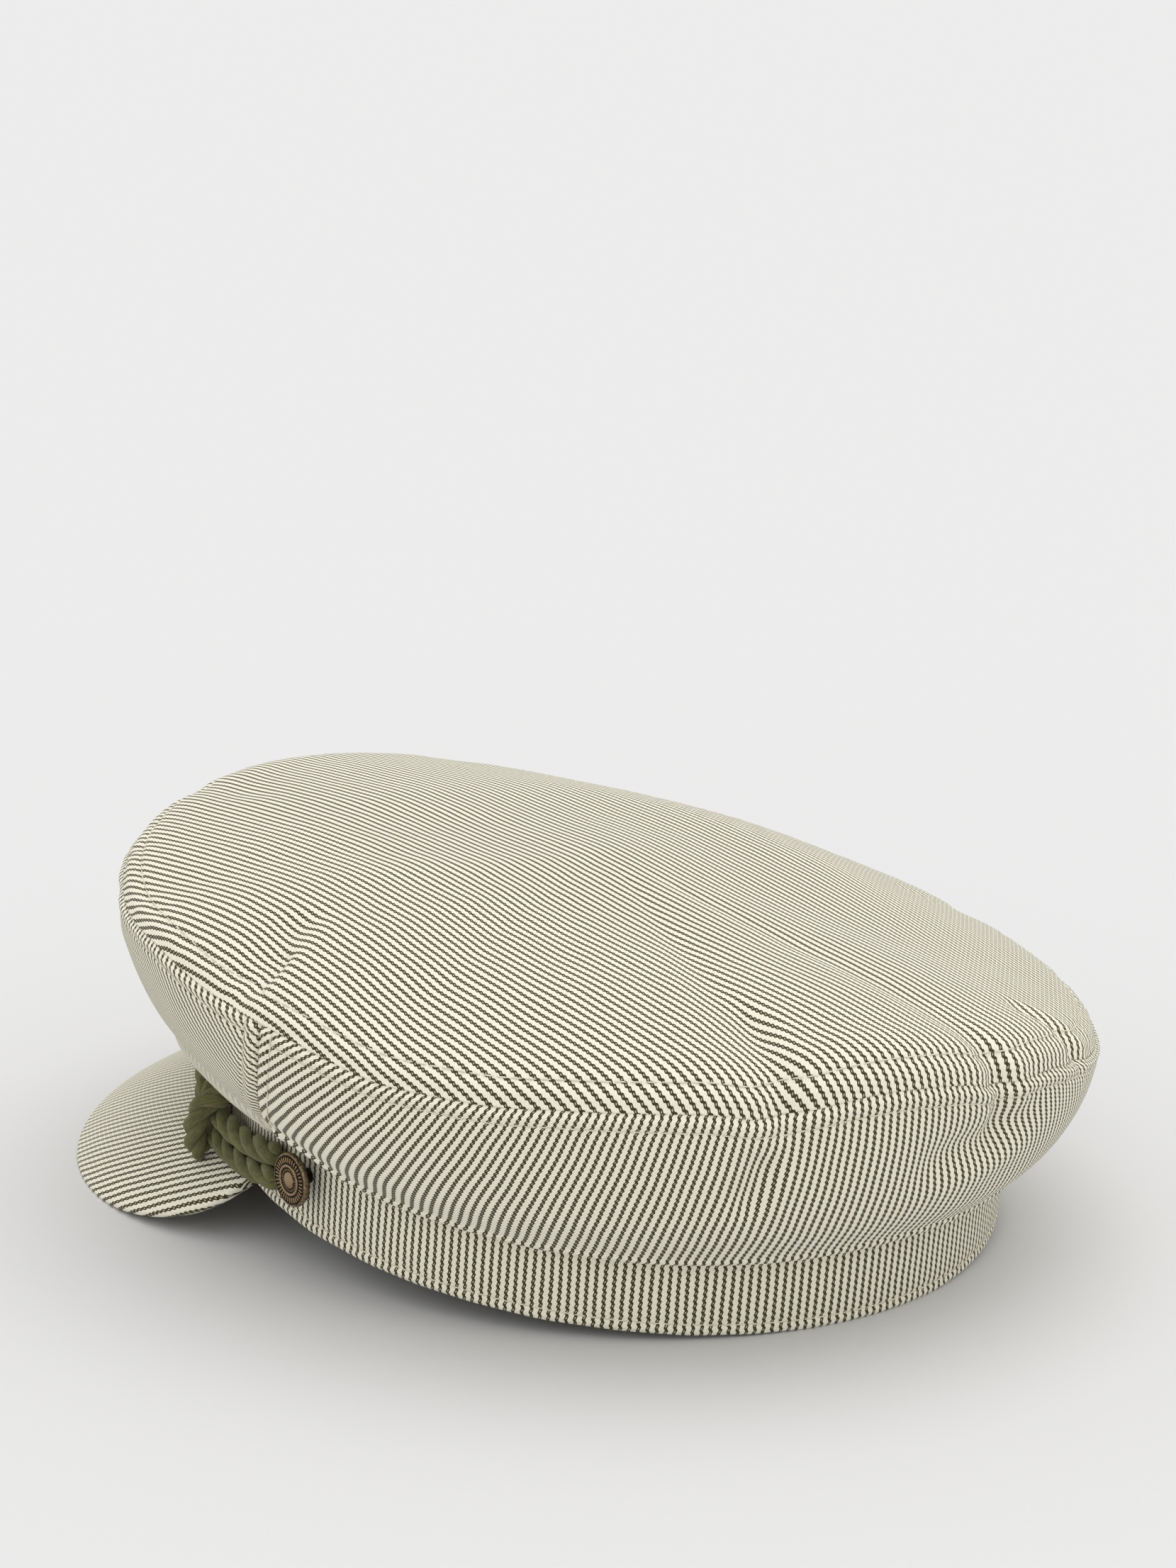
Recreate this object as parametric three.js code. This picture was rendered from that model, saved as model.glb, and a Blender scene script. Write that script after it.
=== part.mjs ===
// A breton fisherman cap of striped cotton twill, lying on a flat surface.
// Lengths are millimetres and +Z is up. The peak points along -Y and the wearer's left is +X.
// Angles go round the cap in degrees: 0 is the front, 90 the wearer's left, 180 the back.
// The cap is built upright on its rim, then tipped back until its rim and its peak both touch down.

import * as THREE from 'three';

// Head band: a plain upright strip, oval in plan
const BAND_WIDTH = 180;
const BAND_LENGTH = 198;
const BAND_HEIGHT = 32;
const BAND_CLOTH = 2.2;

// Crown: a side wall in two halves and a domed top, both of one thickness
const CROWN_WIDTH = 219;
const CROWN_LENGTH = 259;
const CROWN_FORWARD = 10.5;
const CROWN_CLOTH = 1.6;
const CROWN_LEAN = 7.5;
const SEAM_HEIGHT = 53;
const DOME_RISE = 18;
const OVERHANG_HEIGHT = 19.5;
const OVERHANG_REACH = 5;
const SIDE_SEAM_TOP = 96;
const SIDE_SEAM_FOOT = 86;

// Folds and dents of the crown's cloth
const FOLD_LENGTH = 30;
const FOLD_WIDTH = 14;
const FOLD_DEPTH = 3.4;

// Peak
const PEAK_REACH = 56;
const PEAK_CORNER = 3;
const PEAK_SPREAD = 73.5;
const PEAK_CLOTH = 2.8;
const PEAK_BOW = 2;
const PEAK_DROP_MIDDLE = 27;
const PEAK_DROP_CORNER = 40;

// Cord and its knots
const ROPE_DIAMETER = 5.6;
const KNOT_ANGLE = 64;
const KNOT_SLANT = 5;
const KNOT_LOWER_TURN = -48;
const KNOT_UPPER_TURN = 88;

// Buttons
const BUTTON_DIAMETER = 12.8;
const BUTTON_THICKNESS = 2.4;
const BUTTON_STAND = 5;
const BUTTON_SHANK = 5;
const BUTTON_ANGLE = 88;
const BUTTON_HEIGHT = 14.3;

// How pieces meet, and how far soft edges flatten where they touch down
const SEWN_GAP = 0.3;
const SETTLE = 0.6;

// How finely the shapes are divided
const SECTORS = 84;
const PEAK_COLUMNS = 28;
const ROPE_STEPS = 56;
const ROPE_SIDES = 10;
const ROPE_GUIDES = 26;
const KNOT_STEPS = 16;
const KNOT_GUIDES = 12;
const KNOT_SPREAD_TURN = 40;
const BUTTON_SIDES = 20;

// Height of the top seam round the cap, as shares of SEAM_HEIGHT
const SEAM_LINE = [
  { angle: 0, height: 1.04 },
  { angle: 45, height: 0.95 },
  { angle: 90, height: 0.93 },
  { angle: 135, height: 1.0 },
  { angle: 180, height: 1.21 },
];

// Lower edge of the crown's overhang: shares of OVERHANG_HEIGHT and OVERHANG_REACH
const OVERHANG_LINE = [
  { angle: 0, height: 1.24, reach: 3.2 },
  { angle: 60, height: 1.22, reach: 3.2 },
  { angle: 75, height: 1.24, reach: 2.5 },
  { angle: 90, height: 1.15, reach: 1.5 },
  { angle: 103, height: 1.03, reach: 1.2 },
  { angle: 140, height: 0.99, reach: 1.2 },
  { angle: 180, height: 1.06, reach: 1.2 },
];

// The top's rise above its seam, from the seam (reach 1) to the middle: shares of DOME_RISE
const DOME = [
  { reach: 0, front: 0.74, side: 0.74, back: 0.74 },
  { reach: 0.25, front: 0.78, side: 0.84, back: 0.75 },
  { reach: 0.5, front: 0.86, side: 0.98, back: 0.76 },
  { reach: 0.7, front: 0.62, side: 0.7, back: 0.72 },
  { reach: 0.85, front: 0.42, side: 0.4, back: 0.58 },
  { reach: 0.95, front: 0.26, side: 0.2, back: 0.4 },
  { reach: 1, front: 0, side: 0, back: 0 },
];

// Rows of the wall from the top seam down to the overhang: how far down, and how far tucked in
const WALL = [
  { down: 0, tuck: 0 },
  { down: 0.16, tuck: 0.01 },
  { down: 0.36, tuck: 0.09 },
  { down: 0.58, tuck: 0.27 },
  { down: 0.8, tuck: 0.56 },
  { down: 1, tuck: 1 },
];

// Turns of the overhang's roll, in degrees from its outer side to its inner side
const ROLL_TURNS = [60, 120, 180];

// Creases of the crown. Each has its middle at an angle and a place below the seam (1 is the
// overhang, -1 the middle of the top), and turns from straight down, in degrees. Its length, width
// and depth are shares of FOLD_LENGTH, FOLD_WIDTH and FOLD_DEPTH.
const FOLDS = [
  { angle: 88, below: -0.14, turn: 38, length: 0.9, width: 0.9, depth: 0.9 },
  { angle: 156, below: -0.12, turn: -6, length: 1.1, width: 0.7, depth: 1.0 },
  { angle: 153, below: 0.4, turn: -20, length: 0.5, width: 0.7, depth: 0.9 },
  { angle: 185, below: 0.04, turn: 12, length: 0.8, width: 0.5, depth: 1.1 },
  { angle: 187, below: 0.4, turn: -72, length: 1.0, width: 0.5, depth: 1.1 },
  { angle: 203, below: -0.06, turn: 10, length: 0.6, width: 0.6, depth: 0.8 },
  { angle: 236, below: 0.3, turn: -40, length: 0.9, width: 0.8, depth: 0.8 },
  { angle: 262, below: -0.12, turn: -25, length: 1.1, width: 1.0, depth: 0.9 },
  { angle: 301, below: 0.25, turn: 35, length: 0.9, width: 0.9, depth: 0.8 },
  { angle: 338, below: -0.12, turn: 20, length: 1.1, width: 1.1, depth: 0.8 },
  { angle: 24, below: -0.1, turn: -24, length: 1.0, width: 1.0, depth: 0.8 },
  { angle: 52, below: 0.35, turn: -35, length: 0.8, width: 0.8, depth: 0.7 },
];

// Where the two cords run on each side of the front: height and stand-off as shares of ROPE_DIAMETER
const ROPE_ROUTE = [
  { angle: 0, lower: 0.93, upper: 1.99, stand: 0.5 },
  { angle: 25, lower: 0.93, upper: 1.99, stand: 0.5 },
  { angle: 50, lower: 1.0, upper: 2.06, stand: 0.52 },
  { angle: 64, lower: 1.16, upper: 2.22, stand: 0.54 },
  { angle: 75, lower: 1.48, upper: 2.54, stand: 0.52 },
  { angle: 83.2, lower: 2.0, upper: 3.06, stand: 0.5 },
];

const COLOURS = {
  cloth: { color: 0xbdb899, roughness: 0.92, metalness: 0 },
  cord: { color: 0x5d6a38, roughness: 0.95, metalness: 0 },
  brass: { color: 0x6b5738, roughness: 0.45, metalness: 0.9 },
};

const radians = THREE.MathUtils.degToRad;

// Smooth reading of one column of a table between its rows
function readTable(table, key, column, value) {
  const last = table.length - 1;
  const at = THREE.MathUtils.clamp(value, table[0][key], table[last][key]);
  let row = 0;
  while (row < last - 1 && at > table[row + 1][key]) {
    row += 1;
  }
  const slope = (index) => {
    const before = table[Math.max(index - 1, 0)];
    const after = table[Math.min(index + 1, last)];
    const isEnd = index === 0 || (index === last && table[last][key] === 180);
    return isEnd ? 0 : (after[column] - before[column]) / (after[key] - before[key]);
  };
  const low = table[row];
  const high = table[row + 1];
  const span = high[key] - low[key];
  const t = (at - low[key]) / span;
  const t2 = t * t;
  const t3 = t2 * t;
  return (2 * t3 - 3 * t2 + 1) * low[column] + (t3 - 2 * t2 + t) * span * slope(row)
    + (3 * t2 - 2 * t3) * high[column] + (t3 - t2) * span * slope(row + 1);
}

// The same angle measured from the front, whichever side it is on
function fromFront(angle) {
  const turned = ((angle % 360) + 360) % 360;
  return turned > 180 ? 360 - turned : turned;
}

function ovalPoint(angle, halfWidth, halfLength, height) {
  const a = radians(angle);
  return new THREE.Vector3(halfWidth * Math.sin(a), -halfLength * Math.cos(a), height);
}

function bandPoint(angle, standOff, height) {
  return ovalPoint(angle, BAND_WIDTH / 2 + standOff, BAND_LENGTH / 2 + standOff, height);
}

function outward(angle) {
  const a = radians(angle);
  return new THREE.Vector3(Math.sin(a) / BAND_WIDTH, -Math.cos(a) / BAND_LENGTH, 0).normalize();
}

function seamHeight(angle) {
  const share = readTable(SEAM_LINE, 'angle', 'height', fromFront(angle));
  return share * SEAM_HEIGHT + CROWN_LEAN * Math.sin(radians(angle));
}

function seamPoint(angle) {
  const point = ovalPoint(angle, CROWN_WIDTH / 2, CROWN_LENGTH / 2, seamHeight(angle));
  point.y -= CROWN_FORWARD;
  return point;
}

// Rise of the domed top above the level of its seam
function domeRise(angle, reach) {
  const ahead = Math.cos(radians(angle));
  const front = Math.max(ahead, 0) ** 2;
  const back = Math.max(-ahead, 0) ** 2;
  const share = readTable(DOME, 'reach', 'front', reach) * front
    + readTable(DOME, 'reach', 'back', reach) * back
    + readTable(DOME, 'reach', 'side', reach) * (1 - front - back);
  return share * DOME_RISE;
}

function topPoint(angle, reach) {
  const rim = seamPoint(angle);
  return new THREE.Vector3(
    rim.x * reach,
    (rim.y + CROWN_FORWARD) * reach - CROWN_FORWARD,
    SEAM_HEIGHT + (rim.z - SEAM_HEIGHT) * reach + domeRise(angle, reach),
  );
}

// One section of the wall: the outer leg, the roll under the overhang and the hem behind it
function wallSection(angle) {
  const side = fromFront(angle);
  const reach = readTable(OVERHANG_LINE, 'angle', 'reach', side) * OVERHANG_REACH;
  const lowest = readTable(OVERHANG_LINE, 'angle', 'height', side) * OVERHANG_HEIGHT;
  const inner = SEWN_GAP + CROWN_CLOTH / 2;
  const roll = (reach - CROWN_CLOTH / 2 - inner) / 2;
  const rollHeight = lowest + CROWN_CLOTH / 2 + roll;
  const top = seamPoint(angle);
  const foot = bandPoint(angle, inner + 2 * roll, rollHeight);
  const points = WALL.map(({ down, tuck }) => new THREE.Vector3(
    THREE.MathUtils.lerp(top.x, foot.x, tuck),
    THREE.MathUtils.lerp(top.y, foot.y, tuck),
    THREE.MathUtils.lerp(top.z, foot.z, down),
  ));
  for (const turn of ROLL_TURNS) {
    const a = radians(turn);
    const standOff = inner + roll + roll * Math.cos(a);
    points.push(bandPoint(angle, standOff, rollHeight - roll * Math.sin(a)));
  }
  points.push(bandPoint(angle, inner, Math.max(BAND_HEIGHT, rollHeight + CROWN_CLOTH)));
  return points;
}

// Distance along the cloth below the seam, negative on the top
function clothBelow(below) {
  return below * (below > 0 ? 1.2 * (SEAM_HEIGHT - OVERHANG_HEIGHT) : CROWN_WIDTH / 2);
}

// How far the creases push the cloth inward, with below measured as in FOLDS
function foldDepth(angle, below) {
  let depth = 0;
  for (const fold of FOLDS) {
    const turn = radians(fold.turn);
    const round = radians(((angle - fold.angle + 540) % 360) - 180) * CROWN_LENGTH / 2;
    const down = clothBelow(below) - clothBelow(fold.below);
    const along = (round * Math.sin(turn) + down * Math.cos(turn)) / (fold.length * FOLD_LENGTH / 2);
    const across = (round * Math.cos(turn) - down * Math.sin(turn)) / (fold.width * FOLD_WIDTH / 2);
    depth += fold.depth * FOLD_DEPTH * Math.exp(-(across ** 2) - along ** 4);
  }
  return depth;
}

function makeGeometry(positions, faces) {
  const geometry = new THREE.BufferGeometry();
  geometry.setAttribute('position', new THREE.Float32BufferAttribute(positions, 3));
  geometry.setIndex(faces);
  return geometry;
}

// A closed sheet of cloth between two grids of points, each grid one array of points per row.
// A ring closes on itself round the cap, and a pole closes its last row to one point.
function sheet(outer, inner, { ring = false, pole = false } = {}) {
  const columns = outer[0].length;
  const positions = [];
  const index = (grid, row, column) => {
    const wrapped = ring ? column % columns : column;
    if (pole && row === outer.length - 1) {
      return 2 * (outer.length - 1) * columns + grid;
    }
    return (grid * (outer.length - (pole ? 1 : 0)) + row) * columns + wrapped;
  };
  const fullRows = outer.length - (pole ? 1 : 0);
  for (const grid of [outer, inner]) {
    for (const row of grid.slice(0, fullRows)) {
      row.forEach((point) => positions.push(point.x, point.y, point.z));
    }
  }
  if (pole) {
    for (const grid of [outer, inner]) {
      const tip = grid[fullRows][0];
      positions.push(tip.x, tip.y, tip.z);
    }
  }
  const faces = [];
  const quad = (a, b, c, d) => {
    if (new Set([a, b, c]).size === 3) faces.push(a, b, c);
    if (new Set([a, c, d]).size === 3) faces.push(a, c, d);
  };
  const steps = ring ? columns : columns - 1;
  for (let row = 0; row < outer.length - 1; row += 1) {
    for (let column = 0; column < steps; column += 1) {
      quad(index(0, row, column), index(0, row, column + 1),
        index(0, row + 1, column + 1), index(0, row + 1, column));
      quad(index(1, row, column), index(1, row + 1, column),
        index(1, row + 1, column + 1), index(1, row, column + 1));
    }
  }
  for (let column = 0; column < steps; column += 1) {
    quad(index(0, 0, column + 1), index(0, 0, column), index(1, 0, column), index(1, 0, column + 1));
    if (!pole) {
      const last = outer.length - 1;
      quad(index(0, last, column), index(0, last, column + 1),
        index(1, last, column + 1), index(1, last, column));
    }
  }
  if (!ring) {
    for (let row = 0; row < outer.length - 1; row += 1) {
      quad(index(0, row, 0), index(0, row + 1, 0), index(1, row + 1, 0), index(1, row, 0));
      quad(index(0, row + 1, steps), index(0, row, steps), index(1, row, steps), index(1, row + 1, steps));
    }
  }
  return facingOut(positions, faces);
}

// The faces turned so that the solid's volume counts as positive
function facingOut(positions, faces) {
  const corner = (i) => new THREE.Vector3().fromArray(positions, faces[i] * 3);
  let volume = 0;
  for (let i = 0; i < faces.length; i += 3) {
    volume += corner(i).dot(corner(i + 1).cross(corner(i + 2)));
  }
  return makeGeometry(positions, volume < 0 ? faces.reverse() : faces);
}

// Outer and inner grids of a cloth wall from its middle surface.
// Rows are lists of points, and flat(row) may give the thickness direction of an edge row.
function thicken(rows, thickness, ring, flat) {
  const outer = [];
  const inner = [];
  rows.forEach((row, i) => {
    const above = rows[Math.max(i - 1, 0)];
    const under = rows[Math.min(i + 1, rows.length - 1)];
    const count = row.length;
    const outerRow = [];
    const innerRow = [];
    row.forEach((point, j) => {
      const left = row[ring ? (j + count - 1) % count : Math.max(j - 1, 0)];
      const right = row[ring ? (j + 1) % count : Math.min(j + 1, count - 1)];
      const across = right.clone().sub(left);
      const down = under[j].clone().sub(above[j]);
      const normal = flat(i, j) ?? down.cross(across).normalize();
      outerRow.push(point.clone().addScaledVector(normal, thickness / 2));
      innerRow.push(point.clone().addScaledVector(normal, -thickness / 2));
    });
    outer.push(outerRow);
    inner.push(innerRow);
  });
  return { outer, inner };
}

function level(angle) {
  const a = radians(angle);
  return new THREE.Vector3(Math.sin(a) / CROWN_WIDTH, -Math.cos(a) / CROWN_LENGTH, 0).normalize();
}

function crownTop() {
  const reaches = [1, 0.97, 0.92, 0.85, 0.76, 0.65, 0.5, 0.32, 0.15, 0];
  const angles = Array.from({ length: SECTORS }, (_, j) => j * 360 / SECTORS);
  const rows = reaches.map((reach) => angles.map((angle) => {
    const point = topPoint(angle, reach);
    const inward = level(angle).multiplyScalar(-foldDepth(angle, reach - 1) * reach);
    inward.z = -inward.length() * (1 - reach ** 4);
    point.add(inward);
    point.z += reach === 1 ? SEWN_GAP / 2 : 0;
    return point;
  }));
  const last = reaches.length - 1;
  const up = new THREE.Vector3(0, 0, 1);
  const flat = (i, j) => (i === 0 ? level(angles[j]) : (i === last ? up : null));
  const { outer, inner } = thicken(rows, CROWN_CLOTH, true, flat);
  return sheet(outer, inner, { ring: true, pole: true });
}

// Half of the wall between the side seams, with half the sewn gap left at each
function crownWall(isFront) {
  const columns = SECTORS / 2;
  const rowCount = WALL.length + ROLL_TURNS.length + 1;
  const gap = THREE.MathUtils.radToDeg(SEWN_GAP / 2 / (BAND_WIDTH / 2));
  const angleAt = (row, column) => {
    const down = row < WALL.length ? WALL[row].down : 1;
    const seam = THREE.MathUtils.lerp(SIDE_SEAM_TOP, SIDE_SEAM_FOOT, down);
    const start = isFront ? -seam + gap : seam + gap;
    const end = isFront ? seam - gap : 360 - seam - gap;
    return THREE.MathUtils.lerp(start, end, column / columns);
  };
  const rows = [];
  for (let row = 0; row < rowCount; row += 1) {
    const points = [];
    for (let column = 0; column <= columns; column += 1) {
      const angle = angleAt(row, column);
      const point = wallSection(angle)[row];
      if (row < WALL.length) {
        const below = WALL[row].down;
        point.addScaledVector(level(angle), -foldDepth(angle, below) * (1 - below ** 3));
      }
      point.z -= row === 0 ? SEWN_GAP / 2 : 0;
      points.push(point);
    }
    rows.push(points);
  }
  const flat = (i, j) => {
    if (i === 0) return level(angleAt(i, j));
    return i === rowCount - 1 ? level(angleAt(i, j)).negate() : null;
  };
  const { outer, inner } = thicken(rows, CROWN_CLOTH, false, flat);
  return sheet(outer, inner);
}

function band() {
  const heights = [BAND_HEIGHT, BAND_HEIGHT / 2, 0];
  const angles = Array.from({ length: SECTORS }, (_, j) => j * 360 / SECTORS);
  const outer = heights.map((height) => angles.map((angle) => bandPoint(angle, 0, height)));
  const inner = heights.map((height) => angles.map((angle) => bandPoint(angle, -BAND_CLOTH, height)));
  return sheet(outer, inner, { ring: true });
}

// The peak's own reach and drop by angle
function peakShape(angle) {
  const share = Math.min(Math.abs(angle) / PEAK_SPREAD, 1);
  return {
    reach: PEAK_CORNER + (PEAK_REACH - PEAK_CORNER) * (1 - share ** 2.2) ** 0.62,
    drop: THREE.MathUtils.lerp(PEAK_DROP_MIDDLE, PEAK_DROP_CORNER, share ** 2),
  };
}

function peak() {
  const shares = [0, 0.12, 0.34, 0.56, 0.78, 1];
  const angles = Array.from({ length: PEAK_COLUMNS + 1 }, (_, j) => {
    const share = 2 * j / PEAK_COLUMNS - 1;
    return PEAK_SPREAD * (share + Math.sin(share * Math.PI / 2)) / 2;
  });
  const widestStep = angles[PEAK_COLUMNS / 2 + 1] - angles[PEAK_COLUMNS / 2];
  const flatSpan = BAND_LENGTH / 2 * (1 - Math.cos(radians(widestStep / 2)));
  const rows = shares.map((share) => angles.map((angle) => {
    const { reach, drop } = peakShape(angle);
    const out = share * reach;
    const point = bandPoint(angle, SEWN_GAP + flatSpan, PEAK_CLOTH / 2);
    point.addScaledVector(outward(angle), out * Math.cos(radians(drop)));
    point.z -= out * Math.sin(radians(drop)) - PEAK_BOW * Math.sin(Math.PI * share) * reach / PEAK_REACH;
    return point;
  }));
  const up = new THREE.Vector3(0, 0, 1);
  const flat = (i) => (i === 0 ? up : null);
  const { outer, inner } = thicken(rows, PEAK_CLOTH, false, flat);
  return sheet(outer, inner);
}

function roundSection(diameter, sides) {
  const points = [];
  for (let i = 0; i < sides; i += 1) {
    const a = 2 * Math.PI * i / sides;
    points.push(new THREE.Vector2(diameter / 2 * Math.cos(a), diameter / 2 * Math.sin(a)));
  }
  return new THREE.Shape(points);
}

function tube(path, steps) {
  return new THREE.ExtrudeGeometry(roundSection(ROPE_DIAMETER, ROPE_SIDES),
    { extrudePath: path, steps, bevelEnabled: false });
}

// Middle of a cord at an angle, from the route table
function ropePoint(angle, column) {
  const side = fromFront(angle);
  const height = readTable(ROPE_ROUTE, 'angle', column, side) * ROPE_DIAMETER;
  const stand = readTable(ROPE_ROUTE, 'angle', 'stand', side) * ROPE_DIAMETER;
  return bandPoint(angle, stand + SEWN_GAP, height);
}

function rope(column) {
  const end = ROPE_ROUTE[ROPE_ROUTE.length - 1].angle;
  const points = [];
  for (let i = 0; i <= ROPE_GUIDES; i += 1) {
    points.push(ropePoint(THREE.MathUtils.lerp(-end, end, i / ROPE_GUIDES), column));
  }
  return tube(new THREE.CatmullRomCurve3(points), ROPE_STEPS);
}

// One turn of cord over both runs, open towards the band
function knot(side) {
  const middle = ropePoint(KNOT_ANGLE, 'lower').add(ropePoint(KNOT_ANGLE, 'upper')).multiplyScalar(0.5);
  const spacing = ropePoint(KNOT_ANGLE, 'upper').z - ropePoint(KNOT_ANGLE, 'lower').z;
  const out = ROPE_DIAMETER + SEWN_GAP;
  const base = outward(KNOT_ANGLE);
  const alongBand = new THREE.Vector3(-base.y, base.x, 0);
  const points = [];
  for (let i = 0; i <= KNOT_GUIDES; i += 1) {
    const turn = THREE.MathUtils.lerp(KNOT_LOWER_TURN, KNOT_UPPER_TURN, i / KNOT_GUIDES);
    const a = radians(turn);
    const spread = THREE.MathUtils.clamp(turn / KNOT_SPREAD_TURN, -1, 1) * spacing / 2;
    const point = middle.clone().addScaledVector(base, out * Math.cos(a));
    point.addScaledVector(alongBand, KNOT_SLANT * Math.sin(a));
    point.z += out * Math.sin(a) + spread;
    point.x *= side;
    points.push(point);
  }
  return tube(new THREE.CatmullRomCurve3(points), KNOT_STEPS);
}

// A button turned round its own axis: shank, cupped back, rim and slightly domed face
function button() {
  const radius = BUTTON_DIAMETER / 2;
  const face = BUTTON_STAND + BUTTON_THICKNESS;
  const profile = [
    [0, SEWN_GAP],
    [BUTTON_SHANK / 2, SEWN_GAP],
    [BUTTON_SHANK / 2, BUTTON_STAND - BUTTON_THICKNESS / 4],
    [radius * 0.9, BUTTON_STAND],
    [radius, BUTTON_STAND + BUTTON_THICKNESS * 0.35],
    [radius, BUTTON_STAND + BUTTON_THICKNESS * 0.65],
    [radius * 0.93, BUTTON_STAND + BUTTON_THICKNESS * 0.85],
    [radius * 0.8, BUTTON_STAND + BUTTON_THICKNESS * 0.8],
    [radius * 0.4, face - BUTTON_THICKNESS * 0.03],
    [0, face],
  ].map(([x, y]) => new THREE.Vector2(x, y));
  return new THREE.LatheGeometry(profile, BUTTON_SIDES);
}

function placeButton(mesh, side) {
  const normal = outward(BUTTON_ANGLE * side);
  mesh.position.copy(bandPoint(BUTTON_ANGLE * side, 0, BUTTON_HEIGHT));
  mesh.quaternion.setFromUnitVectors(new THREE.Vector3(0, 1, 0), normal);
}

// How far the cap tips back for the peak's edge to reach the surface that the rim's back stands on
function restingTilt(peakGeometry) {
  const points = peakGeometry.attributes.position;
  let tilt = 0;
  for (let i = 0; i < points.count; i += 1) {
    tilt = Math.max(tilt, Math.atan2(-points.getZ(i), BAND_LENGTH / 2 - points.getY(i)));
  }
  return tilt;
}

// Cloth that would reach below the surface is pressed flat on it
function pressFlat(mesh, cap) {
  cap.updateMatrixWorld(true);
  const points = mesh.geometry.attributes.position;
  const point = new THREE.Vector3();
  for (let i = 0; i < points.count; i += 1) {
    mesh.localToWorld(point.fromBufferAttribute(points, i));
    point.z = Math.max(point.z, 0);
    mesh.worldToLocal(point);
    points.setXYZ(i, point.x, point.y, point.z);
  }
}

function addPiece(group, name, geometry, look) {
  const mesh = new THREE.Mesh(geometry, new THREE.MeshStandardMaterial(look));
  mesh.name = name;
  group.add(mesh);
  return mesh;
}

const cap = new THREE.Group();
addPiece(cap, 'crown_top', crownTop(), COLOURS.cloth);
addPiece(cap, 'crown_front', crownWall(true), COLOURS.cloth);
addPiece(cap, 'crown_back', crownWall(false), COLOURS.cloth);
const bandPiece = addPiece(cap, 'band', band(), COLOURS.cloth);
const peakPiece = addPiece(cap, 'visor', peak(), COLOURS.cloth);
addPiece(cap, 'rope_lower', rope('lower'), COLOURS.cord);
addPiece(cap, 'rope_upper', rope('upper'), COLOURS.cord);
for (const [name, side] of [['left', 1], ['right', -1]]) {
  addPiece(cap, `knot_${name}`, knot(side), COLOURS.cord);
  placeButton(addPiece(cap, `button_${name}`, button(), COLOURS.brass), side);
}

// Tip the cap back on to its peak, set it down and centre it
cap.rotation.x = -restingTilt(peakPiece.geometry);
const box = new THREE.Box3().setFromObject(cap, true);
const centre = box.getCenter(new THREE.Vector3());
cap.position.set(-centre.x, -centre.y, -box.min.z - SETTLE);
pressFlat(bandPiece, cap);
pressFlat(peakPiece, cap);

const model = new THREE.Group();
model.add(cap);

export default model;
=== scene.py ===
"""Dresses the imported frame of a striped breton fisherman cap: cloth, cord, stitches and brass.

Shapes are worked out in millimetres in the cap's own upright frame, with the peak towards -Y, and
carried into the row frame, in metres, by one matrix. Angles go round the cap in degrees: 0 is the
front, 90 the wearer's left and 180 the back.
"""

import logging
import math
from dataclasses import dataclass, field
from enum import Enum
from typing import Callable, NamedTuple, Sequence

import bmesh
import bpy
from bmesh.types import BMesh, BMFace, BMLayerItem, BMVert
from bpy.types import (
    Material, Node, NodeOutputs, NodeSocket, NodeTree, Object, ShaderNodeTree,
)
from mathutils import Matrix, Vector, noise
from mathutils.bvhtree import BVHTree


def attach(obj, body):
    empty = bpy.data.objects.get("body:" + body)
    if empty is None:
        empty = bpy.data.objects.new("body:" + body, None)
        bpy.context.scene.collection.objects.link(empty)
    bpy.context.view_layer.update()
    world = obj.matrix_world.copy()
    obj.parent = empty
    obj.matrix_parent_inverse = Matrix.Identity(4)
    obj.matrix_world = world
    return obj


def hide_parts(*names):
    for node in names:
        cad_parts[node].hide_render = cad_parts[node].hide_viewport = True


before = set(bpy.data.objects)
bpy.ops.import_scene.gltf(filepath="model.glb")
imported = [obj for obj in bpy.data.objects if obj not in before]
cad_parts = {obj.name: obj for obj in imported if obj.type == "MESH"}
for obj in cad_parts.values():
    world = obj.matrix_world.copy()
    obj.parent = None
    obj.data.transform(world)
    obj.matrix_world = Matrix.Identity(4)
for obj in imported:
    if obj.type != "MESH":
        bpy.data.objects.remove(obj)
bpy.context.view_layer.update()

log = logging.getLogger("cap")

Table = Sequence[tuple[float, ...]]
Colour = tuple[float, float, float, float]


class Spot(NamedTuple):
    """One vertex of a wrapped grid.

    Attributes:
        point: Where it is, in the row frame.
        pattern: Where it is on the flat cloth, in millimetres.
        fade: How far its stripes are faded, 0 to 1.
        relief: How far it stands out of the smooth cloth, in millimetres.
    """

    point: Vector
    pattern: tuple[float, float]
    fade: float = 0.0
    relief: float = 0.0


Place = Callable[[float, float], Spot]

TILT = math.radians(6.775287)
HAT_TO_WORLD = (
    Matrix.Translation(Vector((0.0000667, 0.0126047, 0.0110796)))
    @ Matrix.Rotation(-TILT, 4, "X")
    @ Matrix.Scale(0.001, 4)
)

# Height of the top seam round the cap, as shares of the seam height
SEAM_LINE: Table = ((0, 1.04), (45, 0.95), (90, 0.93), (135, 1.0), (180, 1.21))

# Local rise of the seam, in millimetres, by angle round the cap
SEAM_WAVE: Table = (
    (60, 0.0), (75, 2.2), (90, 0.9), (99, 0.5), (107, -1.2), (112, -2.0), (118, -1.2), (125, -0.3),
    (133, 1.7), (141, 2.6), (148, 2.2), (154, 0.0), (159, 1.5), (167, 2.6), (174, 1.8), (180, 0.4),
    (184, -1.5), (189, -0.2), (197, 0.9), (210, 0.0),
)

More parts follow.
